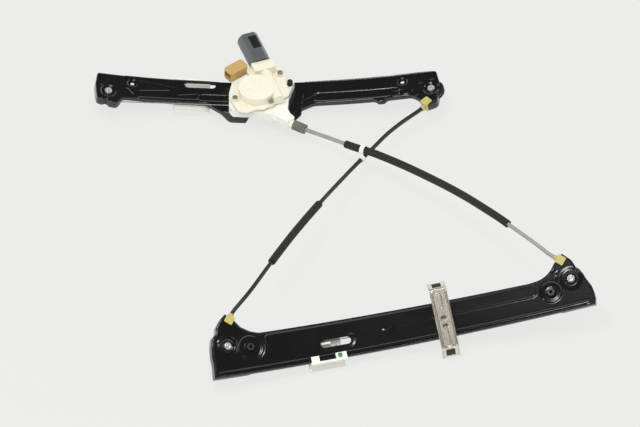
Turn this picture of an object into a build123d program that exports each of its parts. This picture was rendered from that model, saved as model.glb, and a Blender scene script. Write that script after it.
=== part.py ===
from build123d import *
from math import acos, atan2, cos, degrees, pi, radians, sin, sqrt, tan
import os

# Twin-rail cable window regulator, laid on a bench: the drive rail lies flat with its motor up, and the
# slave rail leans on its edge. +Z is up, X runs along the drive rail, and the origin is on the bench.
# Along a rail, "along" is measured round its bend, "across" towards its upper edge and "lift" off its face.

# ---- driving dimensions, mm ----
bend_radius = 1450.0            # both rails follow the curve of the door glass
sheet = 1.5                     # pressed steel
bench_x, bench_y = -40.95, 29.75  # moves everything so that the origin is under the middle
drive_x = -95.6                 # middle of the drive rail
drive_sum = 272.3               # its place across the bench plus its height
drive_face_height = 21.8
slave_x = 136.0                 # middle of the slave rail
slave_sum = -258.0
slave_face_height = 37.2
slave_turn, slave_rise, slave_lean = 12.99, 2.8, 33.0
drive_half_width = 24.5
slave_lower_edge = -28.9
rail_flange = 7.5               # depth of the turned-down edges
lobe_flange = 13.6              # deeper round the pulleys
foot_left, foot_right = -46.0, -24.0
cup_depth = 2.2
rib_depth = 1.8
slot_length, slot_width = 50.0, 12.0
drive_slot = (-96.5, 14.5)
slave_slot = (-114.4, -2.0)

cable_radius = 0.8
pulley_radius = 18.0            # to the middle of the cable
pulley_flange = 2.2
pulley_thickness = 6.9
pulley_gap = 0.3
pivot_cup = 13.0
window_gap = 0.4
cable_room = 2.0
pivot_radius = 4.0
running_clearance = 0.06
seat_gap = 0.2
drive_pulleys = ((-243.9, -13.7), (274.8, -13.7))
slave_pulleys = ((-290.7, 20.9), (276.7, 20.9))
guard_thickness = 1.4

pulley_top = -cup_depth - sheet - pulley_gap
cable_lift = pulley_top - pulley_thickness / 2
hub_along, hub_across = -6.0, -20.1
drum_cable_radius = 20.0
drum_flange = 2.0
drum_bottom, drum_top = 3.0, 14.4
incoming_lift, outgoing_lift = 10.7, 6.3
nozzle_direction = -30.0
nozzle_end = 84.6
drum_housing_height = 15.0
housing_wall = 2.2

gear_floor = 15.2
gear_top = 34.0
dome_radius = 28.8
gear_wall = 2.4
tooth_module = 1.0
wheel_teeth = 45
worm_pitch_radius = 4.5
wheel_bottom, wheel_width = 22.0, 5.0
motor_turn = 110.2              # where the motor points, about the hub
can_start, can_length = 52.0, 62.0
can_radius, can_half_height = 17.6, 15.2
can_wall = 1.6
shaft_radius = 2.5

carrier_length = 58.0
carrier_back = -12.5
carrier_thickness = 3.6
jaw_thickness = 3.2
guide_gap = 0.45
front_along, rear_along = -109.0, -133.5

sheath_radius = 3.3
sheath_bore = 1.2
sleeve_radius = 6.2
sleeve_gap = 0.25
fitting_length, fitting_width = 14.0, 14.0
fitting_below, fitting_above = 5.0, 9.6

wheel_pitch_radius = tooth_module * wheel_teeth / 2
centre_distance = wheel_pitch_radius + worm_pitch_radius
worm_lift = wheel_bottom + wheel_width / 2
worm_pitch = pi * tooth_module


# ---- frames ----
def unit(angle):
    return Vector(cos(radians(angle)), sin(radians(angle)), 0)


def slave_plane():
    """The slave rail's frame: turned in plan, its right end raised, and leaned back about its own length."""
    turn, rise, lean = radians(slave_turn), radians(slave_rise), radians(slave_lean)
    along = Vector(cos(turn) * cos(rise), sin(turn) * cos(rise), sin(rise))
    level = Vector(-sin(turn), cos(turn), 0)
    face = along.cross(level) * cos(lean) - level * sin(lean)
    origin = (slave_x + bench_x, slave_sum - slave_face_height + bench_y, slave_face_height)
    return Plane(origin=origin, x_dir=along, z_dir=face)


drive = Plane(
    origin=(drive_x + bench_x, drive_sum - drive_face_height + bench_y, drive_face_height),
    x_dir=(1, 0, 0),
    z_dir=(0, 0, 1),
)
slave = slave_plane()


def station(rail, along, across=0.0, lift=0.0):
    """A plane on a rail's bend: x along it, y across it and z out of its face."""
    turn = along / bend_radius
    out = rail.z_dir * cos(turn) - rail.x_dir * sin(turn)
    forward = rail.x_dir * cos(turn) + rail.z_dir * sin(turn)
    origin = rail.origin + rail.z_dir * bend_radius - out * (bend_radius - lift) + rail.y_dir * across
    return Plane(origin=origin, x_dir=forward, z_dir=out)


def section_plane(rail, along):
    """A plane across a rail, with x across it and y out of its face."""
    here = station(rail, along)
    return Plane(origin=here.origin, x_dir=here.y_dir, z_dir=here.x_dir)


def bend_axis(rail):
    """The line that the rail bends about, pointed so that a positive turn runs along the rail."""
    return Axis(rail.origin + rail.z_dir * bend_radius, rail.y_dir * -1)


def raised(plane, lift):
    return plane.offset(lift)


def turned(plane, angle, x=0.0, y=0.0, lift=0.0):
    """The plane moved to (x, y, lift) in its own terms and turned about its normal."""
    direction = plane.x_dir * cos(radians(angle)) + plane.y_dir * sin(radians(angle))
    return Plane(origin=plane.from_local_coords((x, y, lift)), x_dir=direction, z_dir=plane.z_dir)


def along_plane(plane, x, y=0.0, lift=0.0):
    """A plane square to this plane's x, with its own x across and its own y up."""
    origin = plane.from_local_coords((x, y, lift))
    return Plane(origin=origin, x_dir=plane.y_dir, z_dir=plane.x_dir)


hub = station(drive, hub_along, hub_across)
motor = turned(hub, motor_turn)
worm_line = turned(motor, 0.0, y=-centre_distance, lift=worm_lift)


# ---- rails ----
def rail_prism(rail, outline, corner, inset, deep, high):
    """The plan outline of a rail, drawn in by inset, as a solid square to the middle of the rail."""
    with BuildPart() as prism:
        with BuildSketch(rail.offset(-deep)) as plan:
            with BuildLine():
                Polyline(*outline, close=True)
            make_face()
            fillet(plan.vertices(), radius=corner)
            if inset > 0:
                offset(amount=-inset, mode=Mode.REPLACE)
        extrude(amount=deep + high)
    return prism.part


def bent_bar(rail, section, start, end):
    """A section (across, lift) carried round the rail's bend."""
    with BuildPart() as bar:
        with BuildSketch(section_plane(rail, start)):
            with BuildLine():
                Polyline(*section, close=True)
            make_face()
        revolve(axis=bend_axis(rail), revolution_arc=degrees((end - start) / bend_radius))
    return bar.part


def face_section(steps, low, high):
    """The pressed face: the line through the steps, with the sheet's thickness under it."""
    top = [(low, 0.0)] + steps + [(high, 0.0)]
    return top + [(across, lift - sheet) for across, lift in reversed(top)]


def block(low, high, bottom, top):
    return [(low, bottom), (high, bottom), (high, top), (low, top)]


def web_foot(reach):
    """The deep slanted edge beside the motor that the drive rail stands on."""
    low = station(drive, 0, -38)
    with BuildPart() as foot:
        with BuildSketch(Plane(origin=low.origin, x_dir=low.x_dir, z_dir=low.y_dir * -1)):
            with BuildLine():
                Polyline(
                    (foot_left - 18, -sheet / 2), (foot_left, -drive_face_height),
                    (foot_right, -drive_face_height), (foot_right + 8, -sheet / 2), close=True,
                )
            make_face()
        extrude(amount=reach)
    return foot.part


def pressing(rail, outline, corner, steps, start, end, lobes, cups, name):
    """A pressed rail: its face, the edge turned down all round, deeper lobes and drawn cups."""
    reach = 110.0
    slab = 60.0
    face = bent_bar(rail, face_section(steps, -reach, reach), start, end)
    shallow = bent_bar(rail, block(-reach, reach, -rail_flange, -sheet / 2), start, end)
    deep = [bent_bar(rail, block(-reach, reach, -depth, -sheet / 2), a, b) for a, b, depth in lobes]
    if rail is drive:
        deep.append(web_foot(reach))
    with BuildPart() as rim:
        add(shallow)
        add(deep)
        add(rail_prism(rail, outline, corner, sheet, slab, 2 * slab), mode=Mode.SUBTRACT)
    with BuildPart() as pressed:
        add(face)
        for along, across, radius in cups:
            with BuildSketch(station(rail, along, across, -cup_depth - sheet)):
                Circle(radius)
            extrude(amount=cup_depth + sheet / 2)
        for along, across, radius in cups:
            with BuildSketch(station(rail, along, across, -cup_depth)):
                Circle(radius - sheet)
            extrude(amount=2 * cup_depth, mode=Mode.SUBTRACT)
        add(rim.part)
        add(rail_prism(rail, outline, corner, 0.0, slab, 2 * slab), mode=Mode.INTERSECT)
    pressed.part.label = name
    return pressed.part


drive_outline = [
    (-262, 24.5), (-266, 0), (-264, -24), (-252, -37), (-230, -36), (-217, -drive_half_width),
    (-86, -drive_half_width), (-60, -44), (-44, -46), (0, -47), (24, -56), (46, -72), (58, -66),
    (56, -46), (68, -34), (86, -drive_half_width), (184, -drive_half_width), (189, -31), (199, -31),
    (204, -drive_half_width), (243, -drive_half_width), (256, -35), (266, -52), (285, -46), (289, -4),
    (283, 24.5),
]
slave_outline = [
    (-323.9, slave_lower_edge), (-322.4, -15.9), (-318.8, 27), (-313.9, 39.6), (-304, 51), (-284, 73.4),
    (-270, 60), (-263, 49), (-249, 39.5), (-235, 34.8), (211, 28.1), (228, 30), (240, 35.5), (248, 42),
    (256, 52), (271, 64), (286, 46), (297.9, 26.3), (305, 4), (308.6, -20.9), (306.6, slave_lower_edge),
]
drive_steps = [(-20, 0), (-18, -rib_depth), (-6, -rib_depth), (-4, 0)]
slave_steps = [
    (-26, 0), (-24.5, -rib_depth), (-20, -rib_depth), (-18.5, 0), (6.5, 0), (8, -rib_depth),
    (22.5, -rib_depth), (24, 0),
]
drive_cups = [(-205.0, 9.0, 9.0), (228.0, 9.0, 9.0)]
slave_cups = [(-254.2, 13.6, 20.0), (240.9, 6.5, 18.0)]
cup_hole = 3.3

drive_lobes = [(-300, -222, lobe_flange), (254, 320, lobe_flange)]
slave_lobes = [(-360, -262, lobe_flange), (248, 345, lobe_flange)]
drive_blank = pressing(
    drive, drive_outline, 3.0, drive_steps, -300, 320, drive_lobes,
    drive_cups + [(*place, pivot_cup) for place in drive_pulleys], "drive_rail",
)
slave_blank = pressing(
    slave, slave_outline, 2.5, slave_steps, -360, 345, slave_lobes,
    slave_cups + [(*place, pivot_cup) for place in slave_pulleys], "slave_rail",
)


# ---- cable geometry at the pulleys ----
def pulley_plane(rail, place, lift=cable_lift):
    return station(rail, place[0], place[1], lift)


def tangent_angle(centre, point, side):
    """The angle on a pulley's rim, in degrees, from which the cable runs straight to a point."""
    dx, dy = point[0] - centre[0], point[1] - centre[1]
    return degrees(atan2(dy, dx)) + side * degrees(acos(pulley_radius / sqrt(dx * dx + dy * dy)))


def rim_point(plane, angle):
    return plane.from_local_coords(tuple(unit(angle) * pulley_radius))


drive_fitting = (267.0, -43.5)
slave_left_fitting = (-278.8, 63.3)
slave_right_fitting = (266.9, 53.8)
drive_exit_angle = tangent_angle(drive_pulleys[1], drive_fitting, 1)
slave_entry_angle = tangent_angle(slave_pulleys[0], slave_left_fitting, 1)
slave_exit_angle = tangent_angle(slave_pulleys[1], slave_right_fitting, -1)


def fitting_plane(rail, pulley, angle, clockwise, fitting):
    """A plane at a sheath's end fitting, with x along the cable, away from the pulley."""
    plane = pulley_plane(rail, pulley)
    start = unit(angle) * pulley_radius
    gap = Vector(fitting[0] - pulley[0], fitting[1] - pulley[1], 0) - start
    heading = angle - 90 if clockwise else angle + 90
    centre = start + unit(heading) * gap.length
    return turned(plane, heading, centre.X, centre.Y)


drive_end = fitting_plane(drive, drive_pulleys[1], drive_exit_angle, True, drive_fitting)
slave_left_end = fitting_plane(slave, slave_pulleys[0], slave_entry_angle, True, slave_left_fitting)
slave_right_end = fitting_plane(slave, slave_pulleys[1], slave_exit_angle, False, slave_right_fitting)

nozzle_start = unit(nozzle_direction - 90) * drum_cable_radius
nozzle_plane = turned(hub, nozzle_direction, nozzle_start.X, nozzle_start.Y, outgoing_lift)
incoming_end = hub.from_local_coords((0, -drum_cable_radius, incoming_lift))
incoming_start = rim_point(pulley_plane(drive, drive_pulleys[0]), -90)


def rod(start, end, radius, bore=0.0):
    """A round bar, or a tube, from one point to another."""
    start, end = Vector(*start), Vector(*end)
    with BuildPart() as bar:
        with BuildSketch(Plane(origin=start, z_dir=end - start)):
            Circle(radius)
            if bore > 0:
                Circle(bore, mode=Mode.SUBTRACT)
        extrude(amount=(end - start).length)
    return bar.part


def pulley_window(rail, place):
    """The room that a pulley's rim takes in the edge walls beside it."""
    with BuildPart() as room:
        with BuildSketch(station(rail, place[0], place[1], pulley_top - pulley_thickness - window_gap)):
            Circle(pulley_radius + pulley_flange + 2 * window_gap)
        extrude(amount=pulley_thickness + window_gap + pulley_gap / 2)
    return room.part


def fitting_block(plane, clearance):
    """The block of a sheath's end fitting, grown by a clearance for the notch that holds it."""
    with BuildPart() as body:
        with BuildSketch(plane.offset(-fitting_below - clearance)) as base:
            Rectangle(fitting_length + 2 * clearance, fitting_width + 2 * clearance)
            if clearance == 0:
                fillet(base.vertices(), radius=1.5)
        extrude(amount=fitting_below + fitting_above + 2 * clearance)
    return body.part


# ---- finished rails ----
housing_screws = ((-36.5, 22.0), (-2.0, 31.0), (44.0, 25.0))
screw_radius = 2.5
bracket_along = 63.4
bracket_rivets_at = ((bracket_along, 0.6), (bracket_along, -12.6))
rivet_radius, rivet_rim = 2.0, 1.4
hub_pin_radius = 4.0

with BuildPart() as drive_rail:
    add(drive_blank)
    with BuildSketch(station(drive, drive_slot[0], drive_slot[1], -20)):
        SlotOverall(slot_length, slot_width)
    extrude(amount=40, mode=Mode.SUBTRACT)
    for place, radius in (
        [(p, pivot_radius) for p in drive_pulleys]
        + [((a, c), cup_hole) for a, c, r in drive_cups]
        + [((hub_along, hub_across), hub_pin_radius)]
        + [((hub_along + x, hub_across + y), screw_radius) for x, y in housing_screws]
    ):
        with BuildSketch(station(drive, place[0], place[1], -6)):
            Circle(radius)
        extrude(amount=12, mode=Mode.SUBTRACT)
    add(rod(incoming_start, incoming_end, cable_room), mode=Mode.SUBTRACT)
    add([pulley_window(drive, place) for place in drive_pulleys], mode=Mode.SUBTRACT)
    leaving = rim_point(pulley_plane(drive, drive_pulleys[1]), drive_exit_angle)
    add(rod(leaving, drive_end.origin, cable_room), mode=Mode.SUBTRACT)
    add(fitting_block(drive_end, seat_gap), mode=Mode.SUBTRACT)
    add(fitting_block(turned(drive_end, 0, x=fitting_length * 0.8), seat_gap), mode=Mode.SUBTRACT)
drive_rail.part.label = "drive_rail"


with BuildPart() as slave_rail:
    add(slave_blank)
    with BuildSketch(station(slave, slave_slot[0], slave_slot[1], -20)):
        SlotOverall(slot_length, slot_width)
    extrude(amount=40, mode=Mode.SUBTRACT)
    for place, radius in (
        [(p, pivot_radius) for p in slave_pulleys]
        + [((a, c), cup_hole) for a, c, r in slave_cups]
        + [(p, rivet_radius) for p in bracket_rivets_at]
    ):
        with BuildSketch(station(slave, place[0], place[1], -6)):
            Circle(radius)
        extrude(amount=12, mode=Mode.SUBTRACT)
    add([pulley_window(slave, place) for place in slave_pulleys], mode=Mode.SUBTRACT)
    entering = rim_point(pulley_plane(slave, slave_pulleys[0]), slave_entry_angle)
    leaving = rim_point(pulley_plane(slave, slave_pulleys[1]), slave_exit_angle)
    add(rod(entering, slave_left_end.origin, cable_room), mode=Mode.SUBTRACT)
    add(rod(leaving, slave_right_end.origin, cable_room), mode=Mode.SUBTRACT)
    for end in (slave_left_end, slave_right_end):
        add(fitting_block(end, seat_gap), mode=Mode.SUBTRACT)
        add(fitting_block(turned(end, 0, x=fitting_length * 0.8), seat_gap), mode=Mode.SUBTRACT)
slave_rail.part.label = "slave_rail"


# ---- pulleys, their pivots and guards ----
pivot_head, pivot_head_height = 6.0, 2.2
pivot_end = 3.0
guard_radius = 9.0
guard_gap = 0.3
tail_radius, tail_height = 5.0, 1.8
guard_top = pulley_top - pulley_thickness - guard_gap


def pulley(rail, place):
    """A grooved pulley turning on its pivot."""
    centre = pulley_plane(rail, place)
    rim = pulley_radius + pulley_flange
    half = pulley_thickness / 2
    root = pulley_radius - cable_radius - seat_gap
    side = Plane(origin=centre.origin, x_dir=centre.x_dir, z_dir=centre.y_dir * -1)
    with BuildPart() as wheel:
        with BuildSketch(side):
            with BuildLine():
                Polyline(
                    (pivot_radius + running_clearance, -half), (rim, -half), (rim, -half + 1.0), (root, -1.1),
                    (root, 1.1), (rim, half - 1.0), (rim, half), (pivot_radius + running_clearance, half),
                    close=True,
                )
            make_face()
        revolve(axis=Axis(centre.origin, centre.z_dir))
        with BuildSketch(centre.offset(-half)):
            with PolarLocations(11.5, 6):
                Circle(2.6)
        extrude(amount=2 * half, mode=Mode.SUBTRACT)
    return wheel.part


def pivot(rail, place):
    """A pivot rivet: head on the face, a running shank and a closed tail under the guard."""
    steps = (
        (-cup_depth, pivot_head_height - cup_depth, pivot_head),
        (guard_top, -cup_depth, pivot_radius),
        (guard_top - guard_thickness, guard_top, pivot_end),
        (guard_top - guard_thickness - tail_height, guard_top - guard_thickness, tail_radius),
    )
    with BuildPart() as pin:
        for low, high, radius in steps:
            with BuildSketch(station(rail, place[0], place[1], low)):
                Circle(radius)
            extrude(amount=high - low)
        with BuildSketch(station(rail, place[0], place[1], pivot_head_height - cup_depth - 0.9)):
            Circle(pivot_head - 1.8)
            Circle(pivot_head - 3.6, mode=Mode.SUBTRACT)
        extrude(amount=2, mode=Mode.SUBTRACT)
    return pin.part


def guard(rail, place):
    """A washer that keeps the pulley on its pivot."""
    with BuildPart() as washer:
        with BuildSketch(station(rail, place[0], place[1], guard_top - guard_thickness)):
            Circle(guard_radius)
            Circle(pivot_end, mode=Mode.SUBTRACT)
        extrude(amount=guard_thickness)
    return washer.part


pulley_places = {
    "drive_left": (drive, drive_pulleys[0]),
    "drive_right": (drive, drive_pulleys[1]),
    "slave_left": (slave, slave_pulleys[0]),
    "slave_right": (slave, slave_pulleys[1]),
}
pulleys = {name: pulley(*where) for name, where in pulley_places.items()}
with BuildPart() as pulley_rivets:
    add([pivot(*where) for where in pulley_places.values()])
with BuildPart() as pulley_guards:
    add([guard(*where) for where in pulley_places.values()])


# ---- end fittings of the sheaths ----
snout_radius, snout_length = 4.6, 5.0


def end_fitting(plane):
    """The block that seats in the rail's notch, with a snout over the end of the sheath."""
    half = fitting_length / 2
    with BuildPart() as fitting:
        add(fitting_block(plane, 0))
        with BuildSketch(along_plane(plane, half)):
            Circle(snout_radius)
        extrude(amount=snout_length)
        with BuildSketch(along_plane(plane, -half)):
            Circle(sheath_bore)
        extrude(amount=fitting_length + snout_length, mode=Mode.SUBTRACT)
        with BuildSketch(along_plane(plane, half - 4)):
            Circle(sheath_radius)
        extrude(amount=snout_length + 4, mode=Mode.SUBTRACT)
    return fitting.part


drive_end_fitting = end_fitting(drive_end)
slave_left_end_fitting = end_fitting(slave_left_end)
slave_right_end_fitting = end_fitting(slave_right_end)


# ---- drum housing, drum and axle ----
drum_rim = drum_cable_radius + drum_flange
cavity_radius = drum_rim + 1.0
nozzle_radius = 6.5
housing_outline = [
    (-39, 30), (-44, 5), (-44, -25), (-38, -34), (2, -36), (28, -45), (50, -61), (62, -50), (54, -40),
    (50, -30), (52, 1), (58, 22), (62, 35), (48, 38), (20, 34), (-10, 36),
]
housing_screw_depth = 10.0
spring_radius, spring_wire, spring_turns = 3.9, 1.0, 5
nozzle_start_at = 46.0
spring_start, spring_end = 62.0, 82.0

with BuildPart() as drum_housing:
    with BuildSketch(hub) as plan:
        with BuildLine():
            Polyline(*housing_outline, close=True)
        make_face()
        fillet(plan.vertices(), radius=4)
    extrude(amount=drum_housing_height)
    with BuildSketch(along_plane(nozzle_plane, nozzle_start_at)):
        Circle(nozzle_radius)
    extrude(amount=nozzle_end - nozzle_start_at)
    with BuildSketch(hub.offset(housing_wall)):
        Circle(cavity_radius)
    extrude(amount=drum_housing_height, mode=Mode.SUBTRACT)
    with BuildSketch(hub):
        Circle(hub_pin_radius)
    extrude(amount=drum_housing_height, mode=Mode.SUBTRACT)
    for x, y in housing_screws:
        with BuildSketch(station(drive, hub_along + x, hub_across + y, -sheet)):
            Circle(screw_radius)
        extrude(amount=housing_screw_depth, mode=Mode.SUBTRACT)
    add(rod(incoming_start, incoming_end, 2.0), mode=Mode.SUBTRACT)
    cable_way = rod(nozzle_plane.origin, nozzle_plane.from_local_coords((spring_start, 0, 0)), 2.0)
    add(cable_way, mode=Mode.SUBTRACT)
    with BuildSketch(along_plane(nozzle_plane, spring_start)):
        Circle(nozzle_radius - 1.4)
    extrude(amount=nozzle_end - spring_start, mode=Mode.SUBTRACT)
    add(bent_bar(drive, block(-110, 110, -30, 0), -90, 110), mode=Mode.SUBTRACT)

drum_core = drum_cable_radius - cable_radius - 0.4
coupler_radius, coupler_length = 7.5, 5.0
with BuildPart() as drum:
    with BuildSketch(hub.offset(drum_bottom)):
        Circle(drum_core)
    extrude(amount=drum_top - drum_bottom)
    for low in (drum_bottom, drum_top - 1.6):
        with BuildSketch(hub.offset(low)):
            Circle(drum_rim)
        extrude(amount=1.6)
    with BuildSketch(hub.offset(drum_top)):
        Circle(coupler_radius)
    extrude(amount=coupler_length)
    with BuildSketch(hub.offset(drum_bottom)):
        Circle(hub_pin_radius + running_clearance)
    extrude(amount=drum_top - drum_bottom + coupler_length, mode=Mode.SUBTRACT)
    with BuildSketch(hub.offset(drum_top + coupler_length - 2)):
        Rectangle(2 * coupler_radius + 2, 3.0)
    extrude(amount=4, mode=Mode.SUBTRACT)
    with BuildSketch(hub.offset(drum_bottom)):
        with PolarLocations(12.5, 6):
            Circle(2.8)
    extrude(amount=drum_top - drum_bottom, mode=Mode.SUBTRACT)

axle_end = gear_top - 4.0
axle_head_radius, axle_head_height = 6.5, 1.8
with BuildPart() as drum_axle:
    with BuildSketch(hub.offset(-sheet - rib_depth - axle_head_height)):
        Circle(axle_head_radius)
    extrude(amount=axle_head_height)
    with BuildSketch(hub.offset(-sheet - rib_depth)):
        Circle(hub_pin_radius)
    extrude(amount=axle_end + sheet + rib_depth)


# ---- gear housing, wheel, worm and motor ----
gear_outline = [
    (46, -6), (49.4, -43), (54, -54), (22.5, -56), (7, -53), (-11.6, -51), (-22, -47), (-38, 1.6), (-34, 12),
    (-36, 30), (-28, 41), (4, 44), (14, 34), (30, 8),
]
gear_screws = ((-2.2, 37.5), (-30.5, -13.0), (26.0, -49.5))
flange_height = 3.0
boss_top = 24.0
seat_length, seat_half_height = 19.0, 10.5
cover_thickness = 1.8
cover_top = gear_floor + cover_thickness
tunnel_radius = 9.0
worm_tip, worm_root = 5.3, 3.3
worm_length = 26.0
worm_bore = worm_tip + 0.7
wheel_root, wheel_tip = wheel_pitch_radius - 1.3, wheel_pitch_radius + 0.9
bush_radius, bush_length = 5.0, 5.0
tooth_foot, tooth_top = 0.8, 0.4
tooth_height = wheel_tip - wheel_root + 0.2

with BuildPart() as gear_cover:
    with BuildSketch(motor.offset(gear_floor)) as plan:
        with BuildLine():
            Polyline(*gear_outline, close=True)
        make_face()
        fillet(plan.vertices(), radius=3)
        offset(amount=-1.0)
        Circle(coupler_radius + 0.5, mode=Mode.SUBTRACT)
        with Locations(*gear_screws):
            Circle(screw_radius, mode=Mode.SUBTRACT)
    extrude(amount=cover_thickness)

with BuildPart() as gear_housing:
    with BuildSketch(motor.offset(cover_top)) as plan:
        with BuildLine():
            Polyline(*gear_outline, close=True)
        make_face()
        fillet(plan.vertices(), radius=3)
    extrude(amount=flange_height)
    with BuildSketch(motor.offset(cover_top)):
        Circle(dome_radius)
    extrude(amount=gear_top - cover_top)
    with BuildSketch(motor.offset(cover_top)):
        with Locations(*gear_screws):
            Circle(screw_radius + 3.0)
    extrude(amount=boss_top - cover_top)
    with BuildSketch(motor.offset(cover_top)) as saddle:
        with Locations((10, -centre_distance)):
            Rectangle(2 * (can_start - 10), 2 * tunnel_radius)
        with Locations(((can_start + 28) / 2, -centre_distance / 2 - 6)):
            Rectangle(can_start - 28, centre_distance + 10)
    extrude(amount=worm_lift - cover_top)
    with BuildSketch(along_plane(worm_line, -can_start + 20)):
        Circle(tunnel_radius)
    extrude(amount=2 * can_start - 20)
    with BuildSketch(along_plane(worm_line, can_start - 4)):
        RectangleRounded(2 * can_radius, 2 * can_half_height - 10, 5)
    extrude(amount=4)
    with BuildSketch(motor.offset(cover_top)) as seat:
        with Locations((can_start - seat_length / 2, -centre_distance)):
            Rectangle(seat_length, 2 * can_radius - 1)
        fillet(seat.vertices().group_by(Axis((0, 0, 0), tuple(motor.x_dir)))[0], radius=4)
    extrude(amount=worm_lift + seat_half_height - cover_top)
    with BuildSketch(motor.offset(cover_top)):
        Circle(dome_radius - gear_wall)
    extrude(amount=gear_top - gear_wall - cover_top, mode=Mode.SUBTRACT)
    with BuildSketch(along_plane(worm_line, -worm_length / 2 - 2)):
        Circle(worm_bore)
    extrude(amount=can_start + worm_length / 2 + 2, mode=Mode.SUBTRACT)
    with BuildSketch(along_plane(worm_line, -worm_length / 2 - 2 - bush_length)):
        Circle(bush_radius)
    extrude(amount=bush_length + 1, mode=Mode.SUBTRACT)
    with BuildSketch(motor.offset(wheel_bottom + wheel_width + 0.6)):
        Circle(hub_pin_radius + 3)
    extrude(amount=gear_top - wheel_bottom - wheel_width - 0.6 - gear_wall / 2)
    with BuildSketch(motor.offset(axle_end - 6)):
        Circle(hub_pin_radius)
    extrude(amount=6, mode=Mode.SUBTRACT)
    with BuildSketch(motor.offset(cover_top - 1)):
        with Locations(*gear_screws):
            Circle(screw_radius)
    extrude(amount=gear_top, mode=Mode.SUBTRACT)
    with BuildSketch(motor.offset(cover_top - 30)):
        Circle(150)
    extrude(amount=30, mode=Mode.SUBTRACT)

hub_radius = coupler_radius
with BuildPart() as worm_wheel:
    with BuildSketch(hub.offset(wheel_bottom)):
        Circle(wheel_root)
        with PolarLocations(wheel_root - 0.2, wheel_teeth):
            Polygon(
                (0, -tooth_foot), (tooth_height, -tooth_top), (tooth_height, tooth_top), (0, tooth_foot),
                align=None,
            )
    extrude(amount=wheel_width)
    with BuildSketch(hub.offset(drum_top + coupler_length)):
        Circle(hub_radius)
    extrude(amount=wheel_bottom - drum_top - coupler_length)
    with BuildSketch(hub.offset(drum_top + coupler_length - 1.9)):
        Rectangle(2 * hub_radius - 1, 2.8)
    extrude(amount=1.9)
    with BuildSketch(hub.offset(drum_top)):
        Circle(hub_pin_radius + running_clearance)
    extrude(amount=gear_top, mode=Mode.SUBTRACT)

thread_foot, thread_crest = 0.75, 0.35
thread_height = worm_tip - worm_root + 0.2
thread_length = 5 * worm_pitch
thread_line = Helix(
    pitch=worm_pitch, height=thread_length, radius=worm_root - 0.2, direction=worm_line.x_dir,
)
thread_probe = thread_line @ 0
thread_angle = degrees(atan2(thread_probe.dot(worm_line.z_dir), thread_probe.dot(worm_line.y_dir)))
thread_start = worm_line.from_local_coords((-3 * worm_pitch - (-thread_angle % 360) / 360 * worm_pitch, 0, 0))
end_play = 0.3
bush_start = -worm_length / 2 - 2 - bush_length
shaft_start, shaft_end = bush_start + end_play, can_start + can_length - 1.0
core_front, core_back, core_radius = 17.0, 15.0, 11.0
core_start, core_length = can_start + core_front, can_length - core_front - core_back
commutator_start, commutator_length, commutator_radius = can_start + 6.0, 7.0, 5.5

with BuildPart() as worm:
    with BuildLine(Plane.XY) as spiral:
        Helix(
            pitch=worm_pitch, height=thread_length, radius=worm_root - 0.2, center=thread_start,
            direction=worm_line.x_dir,
        )
    with BuildSketch(Plane(origin=spiral.line @ 0, x_dir=worm_line.x_dir, z_dir=spiral.line % 0)):
        Polygon(
            (-thread_foot, 0), (thread_foot, 0),
            (thread_crest, thread_height), (-thread_crest, thread_height),
            align=None,
        )
    sweep(is_frenet=True)
    with BuildSketch(along_plane(worm_line, -worm_length / 2)):
        Circle(worm_root)
    extrude(amount=worm_length)
    with BuildSketch(along_plane(worm_line, -worm_length / 2)):
        Circle(shaft_radius)
    extrude(amount=worm_length, mode=Mode.SUBTRACT)


def turned_bar(steps, bore=0.0):
    """A part turned about the worm's axis, as (start, end, radius) steps."""
    with BuildPart() as bar:
        for start, end, radius in steps:
            with BuildSketch(along_plane(worm_line, start)):
                Circle(radius)
                if bore > 0:
                    Circle(bore, mode=Mode.SUBTRACT)
            extrude(amount=end - start)
    return bar.part


motor_shaft = turned_bar([(shaft_start, shaft_end, shaft_radius)])
commutator = turned_bar(
    [(commutator_start, commutator_start + commutator_length, commutator_radius)], shaft_radius,
)
bushes = turned_bar(
    [
        (bush_start, bush_start + bush_length, bush_radius),
        (can_start - 3 - bush_length, can_start - 3, bush_radius),
        (can_start + can_length - 1 - bush_length, can_start + can_length - 1, bush_radius),
    ],
    shaft_radius + running_clearance,
)

with BuildPart() as armature_core:
    with BuildSketch(along_plane(worm_line, core_start)):
        Circle(core_radius)
        Circle(shaft_radius, mode=Mode.SUBTRACT)
        with PolarLocations(core_radius, 10):
            Rectangle(3.5, 1.6, mode=Mode.SUBTRACT)
    extrude(amount=core_length)


def can_section(grow):
    """The flat-sided round of the motor can, grown outwards by an amount."""
    with BuildSketch(along_plane(worm_line, 0)) as section:
        Circle(can_radius + grow)
        Rectangle(3 * can_radius, 2 * (can_half_height + grow), mode=Mode.INTERSECT)
    return section.sketch


cap_length, cap_radius = 4.5, 7.0
with BuildPart() as motor_can:
    with BuildSketch(along_plane(worm_line, can_start)) as outer:
        Circle(can_radius)
        Rectangle(3 * can_radius, 2 * can_half_height, mode=Mode.INTERSECT)
    extrude(amount=can_length)
    with BuildSketch(along_plane(worm_line, can_start + can_length)):
        Circle(cap_radius)
    extrude(amount=cap_length)
    with BuildSketch(along_plane(worm_line, can_start)):
        Circle(can_radius - can_wall)
        Rectangle(3 * can_radius, 2 * (can_half_height - can_wall), mode=Mode.INTERSECT)
    extrude(amount=can_length - can_wall, mode=Mode.SUBTRACT)
    with BuildSketch(along_plane(worm_line, can_start + can_length - 1 - bush_length)):
        Circle(bush_radius)
    extrude(amount=bush_length, mode=Mode.SUBTRACT)

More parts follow.
